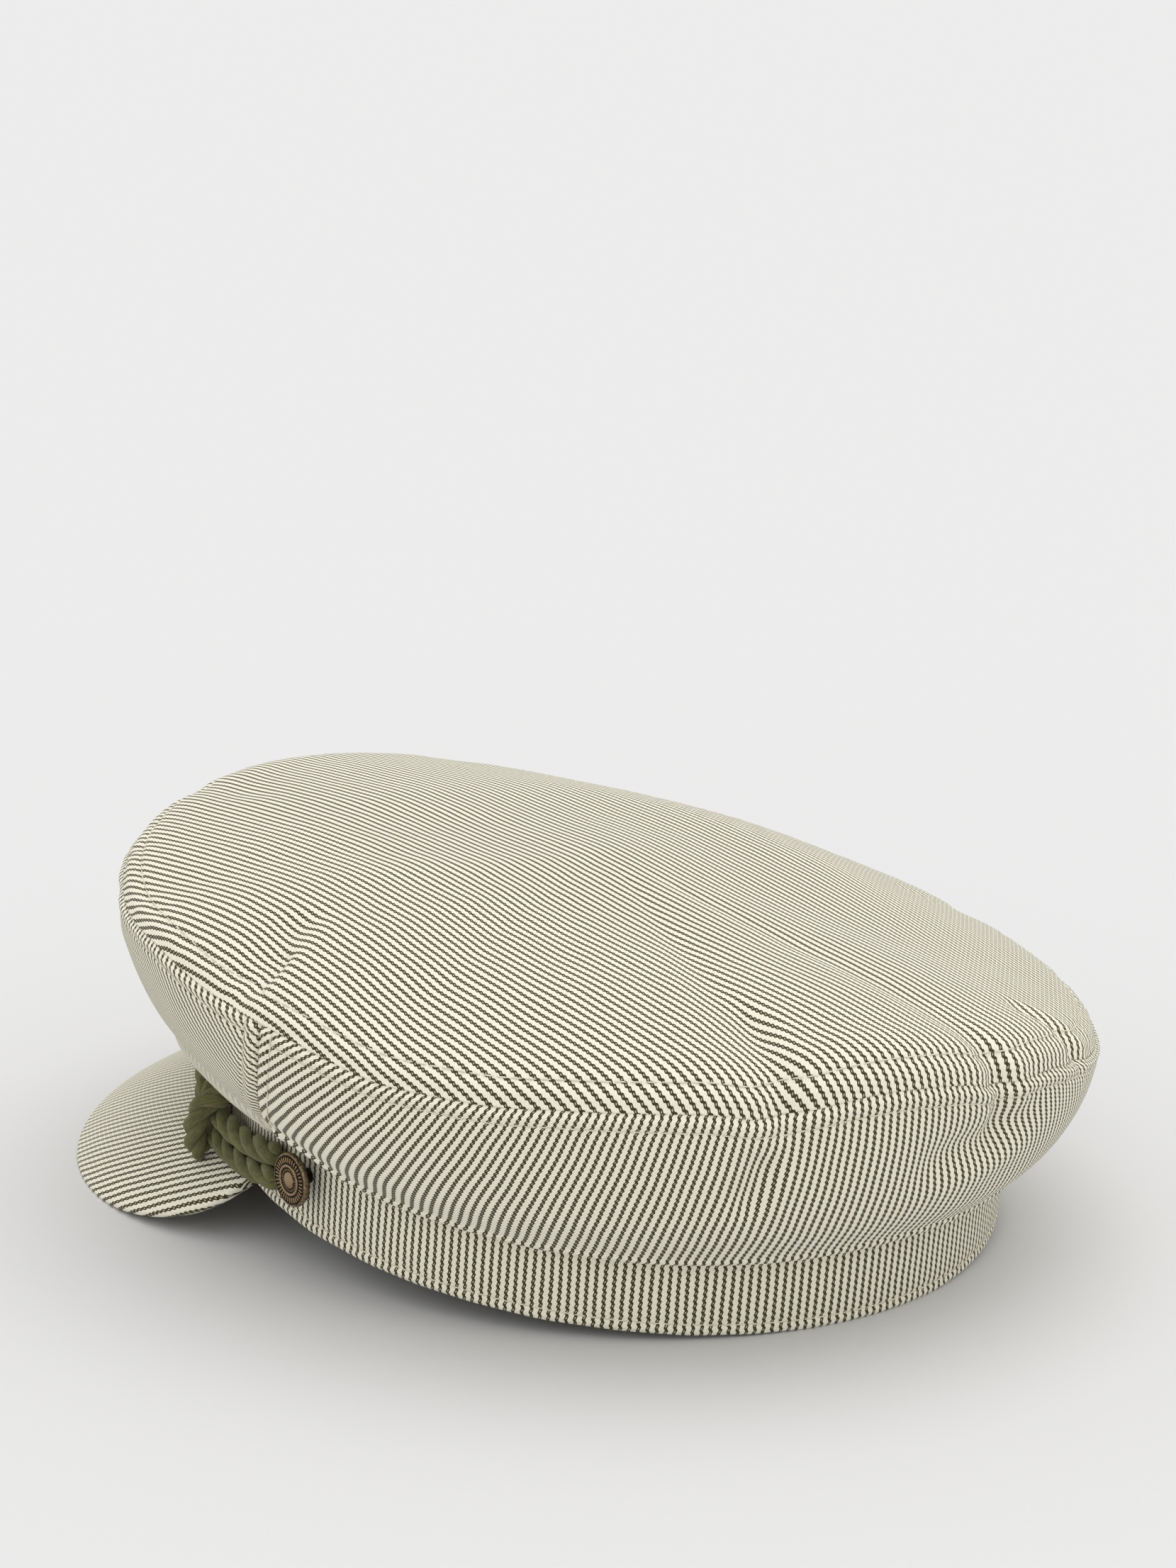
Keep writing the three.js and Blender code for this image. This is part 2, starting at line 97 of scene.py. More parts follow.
# Lower edge of the crown's overhang: shares of the overhang's height and reach
OVERHANG_LINE: Table = (
    (0, 1.24, 3.2), (60, 1.22, 3.2), (75, 1.24, 2.5), (90, 1.15, 1.5), (103, 1.03, 1.2),
    (140, 0.99, 1.2), (180, 1.06, 1.2),
)

# The top's rise above its seam by reach: front, left, back and right shares of the dome's rise
DOME: Table = (
    (0, 1.12, 1.12, 1.12, 1.12), (0.25, 1.0, 1.1, 1.0, 1.06), (0.5, 0.88, 1.03, 0.86, 1.0),
    (0.7, 0.64, 0.85, 0.74, 0.7), (0.85, 0.42, 0.56, 0.58, 0.4), (0.95, 0.26, 0.25, 0.4, 0.2),
    (1, 0, 0, 0, 0),
)

# The wall from the top seam down to the overhang: how far down, and how far tucked in
WALL: Table = ((0, 0), (0.16, 0.01), (0.36, 0.09), (0.58, 0.27), (0.8, 0.56), (1, 1))

# Where the two cords run: angle, lower and upper heights and stand-off as shares of the diameter
ROPE_ROUTE: Table = (
    (0, 0.93, 1.99, 0.8), (25, 0.93, 1.99, 1.05), (50, 0.9, 1.96, 1.15), (64, 0.88, 1.94, 0.8),
    (75, 1.2, 2.26, 0.58), (84.6, 1.84, 2.9, 0.5),
)


@dataclass(frozen=True)
class Fold:
    """One crease of the crown's cloth.

    Attributes:
        angle: Place round the cap, in degrees.
        below: Place below the seam: 1 is the overhang, -1 the middle of the top.
        turn: Turn of the crease from straight down, in degrees.
        length: Length in millimetres.
        width: Width in millimetres.
        depth: Depth in millimetres.
        lip: Height of the raised lip on one side of the crease, in millimetres.
    """

    angle: float
    below: float
    turn: float
    length: float
    width: float
    depth: float
    lip: float = 0.0


FOLDS = (
    Fold(88, -0.14, 38, 27, 14, 3.2, 0.5),
    Fold(91, -0.08, 24, 15, 7, 2.2, 0.6),
    Fold(156, -0.12, -6, 33, 11, 3.4, 0.7),
    Fold(153, 0.4, -20, 17, 10, 3.0, 0.4),
    Fold(185, 0.04, 12, 24, 10, 2.9, 0.6),
    Fold(183, 0.36, -77, 42, 11, 3.3, 0.9),
    Fold(203, -0.06, 10, 18, 9, 2.7, 0.5),
    Fold(236, 0.3, -40, 27, 12, 2.7, 0.4),
    Fold(262, -0.12, -25, 33, 16, 1.5, 0.2),
    Fold(301, 0.25, 35, 27, 13, 2.2, 0.3),
    Fold(338, -0.12, 20, 33, 16, 0.9, 0.1),
    Fold(24, -0.1, -24, 30, 16, 1.2, 0.2),
    Fold(52, 0.35, -35, 24, 12, 2.3, 0.4),
)


def read_table(table: Table, column: int, value: float) -> float:
    """Reads one column of a table smoothly between its rows.

    Args:
        table: Rows whose first entry is the key, in rising order.
        column: Index of the column to read.
        value: Key to read at; it is held inside the table's range.

    Returns:
        The column's value there, by cubic pieces that are level at a closed end.
    """
    last = len(table) - 1
    at = min(max(value, table[0][0]), table[last][0])
    row = 0
    while row < last - 1 and at > table[row + 1][0]:
        row += 1

    def slope(index: int) -> float:
        """Slope of the column at a row.

        Args:
            index: The row.

        Returns:
            The slope, level at a closed end.
        """
        if index == 0 or (index == last and table[last][0] == 180):
            return 0.0
        before, after = table[index - 1], table[min(index + 1, last)]
        return (after[column] - before[column]) / (after[0] - before[0])

    low, high = table[row], table[row + 1]
    span = high[0] - low[0]
    t = (at - low[0]) / span
    return (
        (2 * t**3 - 3 * t**2 + 1) * low[column]
        + (t**3 - 2 * t**2 + t) * span * slope(row)
        + (3 * t**2 - 2 * t**3) * high[column]
        + (t**3 - t**2) * span * slope(row + 1)
    )


def mix(low: float, high: float, share: float) -> float:
    """Value a share of the way from low to high."""
    return low + (high - low) * share


def bump(distance: float, width: float) -> float:
    """Soft bump of height 1 about zero, with the given half width."""
    return math.exp(-((distance / width) ** 2))


def ruffle(x: float, y: float, z: float, seed: float = 0.0) -> float:
    """Smooth unevenness between about -1 and 1, the same at every run."""
    return noise.noise(Vector((x, y, z + 31.7 * seed)))


@dataclass(frozen=True)
class CapShape:
    """The cap's sizes, in millimetres, and the surfaces that follow from them."""

    band_width: float = 180.0
    band_length: float = 198.0
    band_height: float = 32.0
    band_cloth: float = 2.2
    crown_width: float = 219.0
    crown_length: float = 259.0
    crown_forward: float = 10.5
    crown_cloth: float = 1.6
    crown_lean: float = 7.5
    seam_height: float = 53.0
    dome_rise: float = 18.0
    overhang_height: float = 19.5
    overhang_reach: float = 5.0
    side_seam_top: float = 96.0
    side_seam_foot: float = 86.0
    sewn_gap: float = 0.3

    @staticmethod
    def from_front(angle: float) -> float:
        """Angle from the front, whichever side it is on."""
        turned = angle % 360
        return 360 - turned if turned > 180 else turned

    @staticmethod
    def oval(angle: float, half_width: float, half_length: float, height: float) -> Vector:
        """Point of an upright oval."""
        a = math.radians(angle)
        return Vector((half_width * math.sin(a), -half_length * math.cos(a), height))

    def band_point(self, angle: float, stand_off: float, height: float) -> Vector:
        """Point at a stand-off from the band's outer face.

        Args:
            angle: Place round the cap, in degrees.
            stand_off: Distance out of the band's outer face, in millimetres.
            height: Height above the lower edge, in millimetres.

        Returns:
            The point in the upright frame.
        """
        return self.oval(
            angle, self.band_width / 2 + stand_off, self.band_length / 2 + stand_off, height
        )

    def band_out(self, angle: float) -> Vector:
        """Level direction straight out of the band."""
        return self.oval(angle, 1 / self.band_width, 1 / self.band_length, 0).normalized()

    def crown_out(self, angle: float) -> Vector:
        """Level direction straight out of the top seam."""
        return self.oval(angle, 1 / self.crown_width, 1 / self.crown_length, 0).normalized()

    def seam_point(self, angle: float) -> Vector:
        """Point of the top seam.

        Args:
            angle: Place round the cap, in degrees.

        Returns:
            The point in the upright frame.
        """
        height = read_table(SEAM_LINE, 1, self.from_front(angle)) * self.seam_height
        height += self.crown_lean * math.sin(math.radians(angle))
        height += read_table(SEAM_WAVE, 1, angle % 360)
        point = self.oval(angle, self.crown_width / 2, self.crown_length / 2, height)
        point.y -= self.crown_forward
        return point

    def seam_radius(self, angle: float) -> float:
        """Distance of the top seam from the middle of the top."""
        return self.oval(angle, self.crown_width / 2, self.crown_length / 2, 0).length

    def fold(self, angle: float, below: float) -> float:
        """How far the creases push the cloth inward.

        Args:
            angle: Place round the cap, in degrees.
            below: Place below the seam, as in Fold.

        Returns:
            Depth in millimetres, negative where a lip stands proud.
        """
        def down(place: float) -> float:
            """Distance along the cloth below the seam."""
            leg = 1.2 * (self.seam_height - self.overhang_height)
            return place * (leg if place > 0 else self.crown_width / 2)

        depth = 0.0
        for item in FOLDS:
            turn = math.radians(item.turn)
            round_ = math.radians((angle - item.angle + 540) % 360 - 180) * self.crown_length / 2
            if abs(round_) > 40:
                continue
            drop = down(below) - down(item.below)
            along = (round_ * math.sin(turn) + drop * math.cos(turn)) / (item.length / 2)
            across = (round_ * math.cos(turn) - drop * math.sin(turn)) / (item.width / 2)
            if abs(along) < 1.7 and abs(across) < 4:
                fade = math.exp(-(along**4))
                depth += fade * item.depth * bump(across, 1)
                depth -= fade * item.lip * bump(across - 1.5, 0.8)
        return depth

    def top_point(self, angle: float, reach: float) -> Vector:
        """Point of the top's middle surface.

        Args:
            angle: Place round the cap, in degrees.
            reach: 1 at the seam, 0 in the middle of the top.

        Returns:
            The point in the upright frame.
        """
        rim = self.seam_point(angle)
        ahead = math.cos(math.radians(angle))
        leftward = math.sin(math.radians(angle))
        shares = (max(ahead, 0), max(leftward, 0), max(-ahead, 0), max(-leftward, 0))
        rise = self.dome_rise * sum(
            read_table(DOME, column, reach) * share**2 for column, share in enumerate(shares, 1)
        )
        point = Vector((
            rim.x * reach,
            (rim.y + self.crown_forward) * reach - self.crown_forward,
            self.seam_height + (rim.z - self.seam_height) * reach**1.5 + rise,
        ))
        depth = self.fold(angle, reach - 1) * reach
        point -= self.crown_out(angle) * depth
        point.z -= depth * (1 - reach**4)
        return point

    def wall_point(self, angle: float, run: float) -> Vector:
        """Point of the wall's middle surface.

        Args:
            angle: Place round the cap, in degrees.
            run: 0 to 1 down the outer leg, 1 to 2 round the overhang's roll, 2 to 3 up the hem.

        Returns:
            The point in the upright frame.
        """
        side = self.from_front(angle)
        reach = read_table(OVERHANG_LINE, 2, side) * self.overhang_reach
        lowest = read_table(OVERHANG_LINE, 1, side) * self.overhang_height
        inner = self.sewn_gap + self.crown_cloth / 2
        roll = (reach - self.crown_cloth / 2 - inner) / 2
        roll_height = lowest + self.crown_cloth / 2 + roll
        if run <= 1:
            top = self.seam_point(angle)
            foot = self.band_point(angle, inner + 2 * roll, roll_height)
            tuck = read_table(WALL, 1, run)
            x, y = mix(top.x, foot.x, tuck), mix(top.y, foot.y, tuck)
            point = Vector((x, y, mix(top.z, foot.z, run)))
            return point - self.crown_out(angle) * self.fold(angle, run) * (1 - run**3)
        if run <= 2:
            a = math.pi * (run - 1)
            stand_off = inner + roll + roll * math.cos(a)
            return self.band_point(angle, stand_off, roll_height - roll * math.sin(a))
        hem = max(self.band_height, roll_height + self.crown_cloth)
        return self.band_point(angle, inner, mix(roll_height, hem, run - 2))

    def arc(self, angle: float, width: float, length: float) -> float:
        """Distance round an oval from the front to an angle, by Simpson's rule.

        Args:
            angle: The angle, in degrees.
            width: The oval's width, in millimetres.
            length: The oval's length, in millimetres.

        Returns:
            The distance in millimetres.
        """
        steps = 24
        total = 0.0
        for i in range(steps + 1):
            a = math.radians(angle) * i / steps
            speed = math.hypot(width / 2 * math.cos(a), length / 2 * math.sin(a))
            total += speed * (1 if i in (0, steps) else 4 if i % 2 else 2)
        return total * math.radians(angle) / steps / 3

    def band_arc(self, angle: float) -> float:
        """Distance round the band from the front."""
        return self.arc(angle, self.band_width, self.band_length)

    def crown_arc(self, angle: float) -> float:
        """Distance round the top seam from the front."""
        return self.arc(angle, self.crown_width, self.crown_length)


def to_world(point: Vector) -> Vector:
    """Point of the upright frame, in millimetres, carried into the row frame, in metres."""
    return HAT_TO_WORLD @ point


def spread(pieces: Sequence[tuple[float, float, int]]) -> list[float]:
    """Row places made of stretches of even steps.

    Args:
        pieces: Start, end and number of steps of each stretch.

    Returns:
        The places, in order.
    """
    places = [pieces[0][0]]
    for start, end, steps in pieces:
        places += [mix(start, end, (i + 1) / steps) for i in range(steps)]
    return places


def wrap_grid(across: Sequence[float], along: Sequence[float], place: Place) -> BMesh:
    """Wraps a flat grid on to a surface.

    Args:
        across: Parameters of the grid's columns.
        along: Parameters of the grid's rows.
        place: Gives the vertex at a column and a row.

    Returns:
        A bmesh with the pattern as UV map "cloth" and vertex layers "fade" and "relief". Points
        that meet are merged, so a ring closes and a pole is one point.
    """
    bm = bmesh.new()
    bm.loops.layers.uv.new("cloth")
    bm.verts.layers.float.new("fade")
    bm.verts.layers.float.new("relief")
    bmesh.ops.create_grid(bm, x_segments=len(across) - 1, y_segments=len(along) - 1, size=1.0)
    uv_layer = bm.loops.layers.uv["cloth"]
    fade_layer, relief_layer = bm.verts.layers.float["fade"], bm.verts.layers.float["relief"]
    pattern: dict[BMVert, tuple[float, float]] = {}
    for vert in bm.verts:
        i = round((vert.co.x + 1) / 2 * (len(across) - 1))
        j = round((vert.co.y + 1) / 2 * (len(along) - 1))
        vert.co, pattern[vert], vert[fade_layer], vert[relief_layer] = place(across[i], along[j])
    for face in bm.faces:
        for loop in face.loops:
            loop[uv_layer].uv = pattern[loop.vert]
    bmesh.ops.remove_doubles(bm, verts=bm.verts, dist=2e-6)
    return bm


def face_out(bm: BMesh, inside: Vector) -> None:
    """Turns an open sheet's faces away from a point inside the cap.

    Args:
        bm: The sheet.
        inside: The point, in the row frame.
    """
    bm.normal_update()
    facing = sum((f.calc_center_median() - inside).dot(f.normal) * f.calc_area() for f in bm.faces)
    if facing < 0:
        bmesh.ops.reverse_faces(bm, faces=bm.faces)
        bm.normal_update()


def make_cloth(bm: BMesh, thickness: float) -> None:
    """Turns a smooth middle surface into cloth with a relief on its outer face.

    Args:
        bm: The middle surface with its relief layer; its faces point outward.
        thickness: The cloth's thickness, in millimetres.
    """
    relief_layer = bm.verts.layers.float["relief"]
    uv_layer = bm.loops.layers.uv["cloth"]
    outer = {vert: vert.normal.copy() for vert in bm.verts}
    rim = [edge for edge in bm.edges if edge.is_boundary]
    made = bmesh.ops.duplicate(bm, geom=[*bm.verts, *bm.edges, *bm.faces])
    inner = {vert: made["vert_map"][vert] for vert in outer}
    turned = [face for face in made["geom"] if isinstance(face, BMFace)]
    bmesh.ops.reverse_faces(bm, faces=turned)
    for vert, normal in outer.items():
        inner[vert].co = vert.co - normal * thickness / 2000
        vert.co += normal * (thickness / 2 + vert[relief_layer]) / 1000
    inner_rim = [made["edge_map"][edge] for edge in rim]
    for face in bmesh.ops.bridge_loops(bm, edges=rim + inner_rim)["faces"]:
        for loop in face.loops:
            donor = next(other for other in loop.vert.link_loops if other.face is not face)
            loop[uv_layer].uv = donor[uv_layer].uv
    bm.normal_update()


def close_ends(bm: BMesh) -> None:
    """Fills the open ends of a tube or a shell."""
    bmesh.ops.holes_fill(bm, edges=[edge for edge in bm.edges if edge.is_boundary], sides=0)


def settle(bm: BMesh) -> None:
    """Keeps a shape above the surface that the cap lies on and turns its faces outward.

    Args:
        bm: The closed shape, in the row frame.
    """
    for vert in bm.verts:
        vert.co.z = max(vert.co.z, 0.0)
    bmesh.ops.recalc_face_normals(bm, faces=bm.faces)


class Slot(Enum):
    """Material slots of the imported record."""

    CLOTH = "cloth"
    CORD = "cord"
    BRASS = "brass"


def make_object(name: str, bm: BMesh, material: Material) -> Object:
    """Makes a smooth-shaded object of a bmesh and links it to the scene.

    Args:
        name: The object's name.
        bm: Its shape in the row frame; it is freed.
        material: Its finish.

    Returns:
        The object.
    """
    mesh = bpy.data.meshes.new(name)
    bm.to_mesh(mesh)
    bm.free()
    for polygon in mesh.polygons:
        polygon.use_smooth = True
    mesh.materials.append(material)
    made = bpy.data.objects.new(name, mesh)
    bpy.context.scene.collection.objects.link(made)
    return made


def make_piece(
    name: str, bm: BMesh, material: Material, slot: Slot, *nodes: str
) -> Object:
    """Makes an object of a bmesh and fixes it to the frame.

    Args:
        name: The piece's name.
        bm: Its shape in the row frame; it is freed.
        material: Its finish.
        slot: The record's slot that the finish stands for; it is not used.
        *nodes: CAD nodes that the piece replaces.

    Returns:
        The object.
    """
    piece = make_object(name, bm, material)
    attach(piece, "root")
    if nodes:
        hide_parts(*nodes)
    log.info("%s: %d faces", name, len(piece.data.polygons))
    return piece


Feed = float | tuple[float, ...] | NodeSocket
Feeds = dict[str | int, Feed]


class Wiring:
    """Adds and joins the nodes of one tree."""

    def __init__(self, tree: NodeTree) -> None:
        """Keeps the tree that the nodes go into."""
        self.tree = tree

    def feed(self, node: Node, values: Feeds) -> None:
        """Feeds a node's inputs.

        Args:
            node: The node.
            values: What each input takes, by name or place: a socket is linked, a value is set.
        """
        for key, value in values.items():
            if isinstance(value, NodeSocket):
                self.tree.links.new(value, node.inputs[key])
            else:
                node.inputs[key].default_value = value

    def node(self, kind: str, values: Feeds | None = None, **settings: object) -> Node:
        """Adds a node, sets its properties and feeds its inputs.

        Args:
            kind: The node's type.
            values: What its inputs take.
            **settings: Its properties, set before its inputs.

        Returns:
            The node.
        """
        made = self.tree.nodes.new(kind)
        for key, value in settings.items():
            setattr(made, key, value)
        self.feed(made, values or {})
        return made

    def math(self, operation: str, first: Feed, second: Feed = 0.0) -> NodeSocket:
        """One step of arithmetic."""
        return self.node("ShaderNodeMath", {0: first, 1: second}, operation=operation).outputs[0]

    def plus(self, first: Feed, second: Feed) -> NodeSocket:
        """Sum of two values."""
        return self.math("ADD", first, second)

    def minus(self, first: Feed, second: Feed) -> NodeSocket:
        """Difference of two values."""
        return self.math("SUBTRACT", first, second)

    def times(self, first: Feed, second: Feed) -> NodeSocket:
        """Product of two values."""
        return self.math("MULTIPLY", first, second)

    def step(self, value: Feed, low: Feed, high: Feed) -> NodeSocket:
        """Smooth step from 0 to 1.

        Args:
            value: The value to judge.
            low: Where the step is 0; it may be the larger.
            high: Where the step is 1.

        Returns:
            A value from 0 to 1.
        """
        ends = {"Value": value, "From Min": low, "From Max": high}
        made = self.node("ShaderNodeMapRange", ends, interpolation_type="SMOOTHSTEP", clamp=True)
        return made.outputs["Result"]

    def blend(self, share: Feed, first: Feed, second: Feed, way: str = "MIX") -> NodeSocket:
        """Mix of two colours."""
        values = {"Factor": share, 6: first, 7: second}
        return self.node("ShaderNodeMix", values, data_type="RGBA", blend_type=way).outputs[2]

    def noise(self, where: Feed, scale: Feed, detail: float = 2.0) -> NodeSocket:
        """Noise value about a half."""
        values = {"Vector": where, "Scale": scale, "Detail": detail}
        return self.node("ShaderNodeTexNoise", values).outputs[0]

    def bumped(self, height: Feed, strength: float, distance: float) -> NodeSocket:
        """Normal of a relief whose height is in units of distance, in metres."""
        values = {"Strength": strength, "Distance": distance, "Height": height}
        return self.node("ShaderNodeBump", values).outputs["Normal"]

    def place(self) -> NodeSocket:
        """The piece's own coordinates, in metres."""
        return self.node("ShaderNodeTexCoord").outputs["Object"]

    def pattern(self) -> NodeSocket:
        """Place on the flat cloth, in millimetres."""
        return self.node("ShaderNodeUVMap", uv_map="cloth").outputs[0]

    def layer(self, name: str) -> NodeSocket:
        """Value of a vertex layer."""
        return self.node("ShaderNodeAttribute", attribute_name=name).outputs["Fac"]


def start_group(
    name: str, inputs: dict[str, Feed | None], outputs: dict[str, str]
) -> tuple[ShaderNodeTree, Wiring, NodeOutputs, Node]:
    """Starts a shader node group with named sockets.

    Args:
        name: The group's name.
        inputs: Resting value of each input; None makes it a vector.
        outputs: Kind of each output.

    Returns:
        The group, its wiring, what it is given and its output node.
    """
    tree = bpy.data.node_groups.new(name, "ShaderNodeTree")
    for label, value in inputs.items():
        kind = "Vector" if value is None else "Float" if isinstance(value, float) else "Color"
        socket = tree.interface.new_socket(label, in_out="INPUT", socket_type=f"NodeSocket{kind}")
        if value is not None:
            socket.default_value = value
    for label, kind in outputs.items():
        tree.interface.new_socket(label, in_out="OUTPUT", socket_type=f"NodeSocket{kind}")
    wiring = Wiring(tree)
    return tree, wiring, wiring.node("NodeGroupInput").outputs, wiring.node("NodeGroupOutput")


@dataclass(frozen=True)
class TwillWeave:
    """Striped twill: dark stripes like chains of slanting links on a light ground, with painted
    highlights and rib shade.
    """

    stripe_pitch: float = 2.03
    half_width: float = 0.41
    link_pitch: float = 1.5
    link_slope: float = 0.9
    link_swell: float = 0.13
    grit_scale: float = 1.3
    grit_swell: float = 0.16
    soft_edge: float = 0.05
    wander: float = 0.5
    # Painted highlight: share by which the raised middle of each link is drawn lighter
    link_highlight_strength: float = 0.5
    faded_ink: float = 0.3
    ground_shade: float = 0.97
    # Painted light and shade of the diagonal ribs: lighter on their crests, darker between them
    rib_shade: float = 0.07
    grit_shade: float = 0.24
    rib_height: float = 0.35
    fuzz_height: float = 0.4

    def build(self) -> ShaderNodeTree:
        """Makes the group.

        Returns:
            The group. Its coordinates are millimetres, across the stripes and along them.
        """
        tree, w, given, result = start_group(
            "striped_twill",
            {
                "Coordinates": None,
                "Stripe Pitch": self.stripe_pitch,
                "Link Pitch": self.link_pitch,
                "Stripe Half Width": self.half_width,
                "Light": (0.8, 0.8, 0.7, 1),
                "Dark": (0.1, 0.1, 0.05, 1),
                "Fade": 0.0,
            },
            {"Color": "Color", "Height": "Float"},
        )
        where, pitch, fade = given["Coordinates"], given["Stripe Pitch"], given["Fade"]
        across, along, _ = w.node("ShaderNodeSeparateXYZ", {0: where}).outputs
        wander = w.times(w.minus(w.noise(where, 0.09, 1), 0.5), self.wander)
        cell = w.math("FRACT", w.math("DIVIDE", w.plus(across, wander), pitch))
        off = w.times(w.math("ABSOLUTE", w.minus(cell, 0.5)), pitch)
        slant = w.minus(along, w.times(across, self.link_slope))
        turn = w.times(w.math("DIVIDE", slant, given["Link Pitch"]), 2 * math.pi)
        link, rib = w.math("COSINE", turn), w.math("COSINE", w.times(turn, 2.0))
        grit = w.minus(w.noise(where, self.grit_scale, 3), 0.5)
        half = w.plus(given["Stripe Half Width"], w.times(link, self.link_swell))
        half = w.plus(half, w.times(grit, self.grit_swell))
        stripe = w.step(off, w.plus(half, self.soft_edge), w.minus(half, self.soft_edge))
        # Painted highlight: the raised middle of each link, near the stripe's centre, drawn
        # lighter
        eye = w.times(w.step(link, 0.35, 0.95), w.step(off, 0.24, 0.08))
        ink = w.times(stripe, w.minus(1.0, w.times(eye, self.link_highlight_strength)))
        ink = w.plus(w.times(ink, w.minus(1.0, fade)), w.times(fade, self.faded_ink))
        # Painted light and shade of the ribs, with random tone from the grit on top
        shade = w.plus(self.ground_shade, w.times(rib, self.rib_shade))
        shade = w.plus(shade, w.times(grit, self.grit_shade))
        painted_rib_shade_and_grain = w.node("ShaderNodeCombineColor", {0: shade, 1: shade, 2: shade}).outputs[0]
        colour = w.blend(ink, given["Light"], given["Dark"])
        ridge = w.times(w.plus(rib, 1.0), self.rib_height)
        fuzz = w.times(w.noise(where, 4.0, 2), self.fuzz_height)
        w.feed(result, {
            "Color": w.blend(1.0, colour, painted_rib_shade_and_grain, "MULTIPLY"), "Height": w.plus(ridge, fuzz),
        })
        return tree


def build_wear() -> ShaderNodeTree:
    """Group for wear: how bright a raised or rubbed place has become, broken up by noise.

    Returns:
        The group. Its coordinates are metres.
    """
    tree, w, given, result = start_group(
        "rubbed_high_places",
        {"Coordinates": None, "Raised": 0.0, "Scale": 1500.0},
        {"Wear": "Float", "Grain": "Float"},
    )
    grain = w.noise(given["Coordinates"], given["Scale"])
    broken = w.plus(given["Raised"], w.minus(grain, 0.5))
    w.feed(result, {"Wear": w.step(broken, 0.25, 0.8), "Grain": grain})
    return tree


def start_material(name: str) -> tuple[Material, Wiring, Node]:
    """Starts a material with a Principled shader.

    Args:
        name: The material's name.

    Returns:
        The material, its wiring and its shader.
    """
    material = bpy.data.materials.new(name)
    material.use_nodes = True
    return material, Wiring(material.node_tree), material.node_tree.nodes["Principled BSDF"]


@dataclass(frozen=True)
class TwillFinish:
    """Striped cotton twill, cream with olive brown stripes."""

    name: str = "striped_twill_cloth"
    light: Colour = (0.9, 0.862, 0.715, 1)
    dark: Colour = (0.05, 0.043, 0.01, 1)
    relief: float = 0.00012

    def build(self, twill: ShaderNodeTree) -> Material:
        """Makes the material.

        Args:
            twill: The striped twill group.

        Returns:
            The material.
        """
        material, w, shader = start_material(self.name)
        values = {"Coordinates": w.pattern(), "Fade": w.layer("fade"),
                  "Light": self.light, "Dark": self.dark}
        cloth = w.node("ShaderNodeGroup", values, node_tree=twill).outputs
        w.feed(shader, {
            "Base Color": cloth["Color"],
            "Normal": w.bumped(cloth["Height"], 0.7, self.relief),
            "Roughness": 0.92,
            "Specular IOR Level": 0.25,
            "Sheen Weight": 0.12,
            "Sheen Roughness": 0.5,
        })
        return material


@dataclass(frozen=True)
class CordFinish:
    """Soft twisted wool cord, moss green."""

    name: str = "moss_green_cord"
    light: Colour = (0.165, 0.161, 0.064, 1)
    dark: Colour = (0.058, 0.056, 0.019, 1)
    fibre_turn: float = 0.35
    fibre_scale: tuple[float, float, float] = (4.2, 0.5, 1)
    relief: float = 0.0004

    def build(self) -> Material:
        """Makes the material, with fibres that run along each strand.

        Returns:
            The material.
        """
        material, w, shader = start_material(self.name)
        stretch = w.node("ShaderNodeMapping", {
            "Vector": w.pattern(), "Rotation": (0, 0, self.fibre_turn), "Scale": self.fibre_scale,
        })
        fibre = w.noise(stretch.outputs[0], 1.0, 4)
        place = w.place()
        patch, fluff = w.noise(place, 260, 2), w.noise(place, 2600, 3)
        share = w.step(w.plus(w.times(fibre, 0.75), w.times(patch, 0.45)), 0.35, 0.85)
        w.feed(shader, {
            "Base Color": w.blend(share, self.dark, self.light),
            "Normal": w.bumped(w.plus(fibre, w.times(fluff, 0.5)), 0.8, self.relief),
            "Roughness": 0.95,
            "Specular IOR Level": 0.15,
            "Sheen Weight": 0.35,
            "Sheen Roughness": 0.6,
            "Sheen Tint": (0.6, 0.62, 0.42, 1),
        })
        return material


@dataclass(frozen=True)
class ThreadFinish:
    """Sewing thread, cream."""

    name: str = "cream_sewing_thread"
    light: Colour = (0.8, 0.76, 0.62, 1)
    dark: Colour = (0.45, 0.42, 0.3, 1)

    def build(self) -> Material:
        """Makes the material.

        Returns:
            The material.
        """
        material, w, shader = start_material(self.name)
        twist = w.noise(w.place(), 3200, 2)
        w.feed(shader, {
            "Base Color": w.blend(w.times(twist, 0.5), self.light, self.dark),
            "Normal": w.bumped(twist, 0.5, 0.0001),
            "Roughness": 0.7,
        })
        return material


@dataclass(frozen=True)
class BrassFinish:
    """Antique brass, dark in the hollows and rubbed bright on the raised places."""

    name: str = "antique_brass"
    bright: Colour = (0.31, 0.22, 0.12, 1)
    dark: Colour = (0.03, 0.021, 0.014, 1)
    roughness: float = 0.62
    polish: float = 0.3

    def build(self, wear: ShaderNodeTree) -> Material:
        """Makes the material.

        Args:
            wear: The group for rubbed high places.

        Returns:
            The material.
        """
        material, w, shader = start_material(self.name)
        values = {"Coordinates": w.place(), "Raised": w.layer("raised")}
        rubbed = w.node("ShaderNodeGroup", values, node_tree=wear).outputs
        w.feed(shader, {
            "Base Color": w.blend(rubbed["Wear"], self.dark, self.bright),
            "Roughness": w.minus(self.roughness, w.times(rubbed["Wear"], self.polish)),
            "Normal": w.bumped(rubbed["Grain"], 0.35, 0.0001),
            "Metallic": 0.85,
        })
        return material


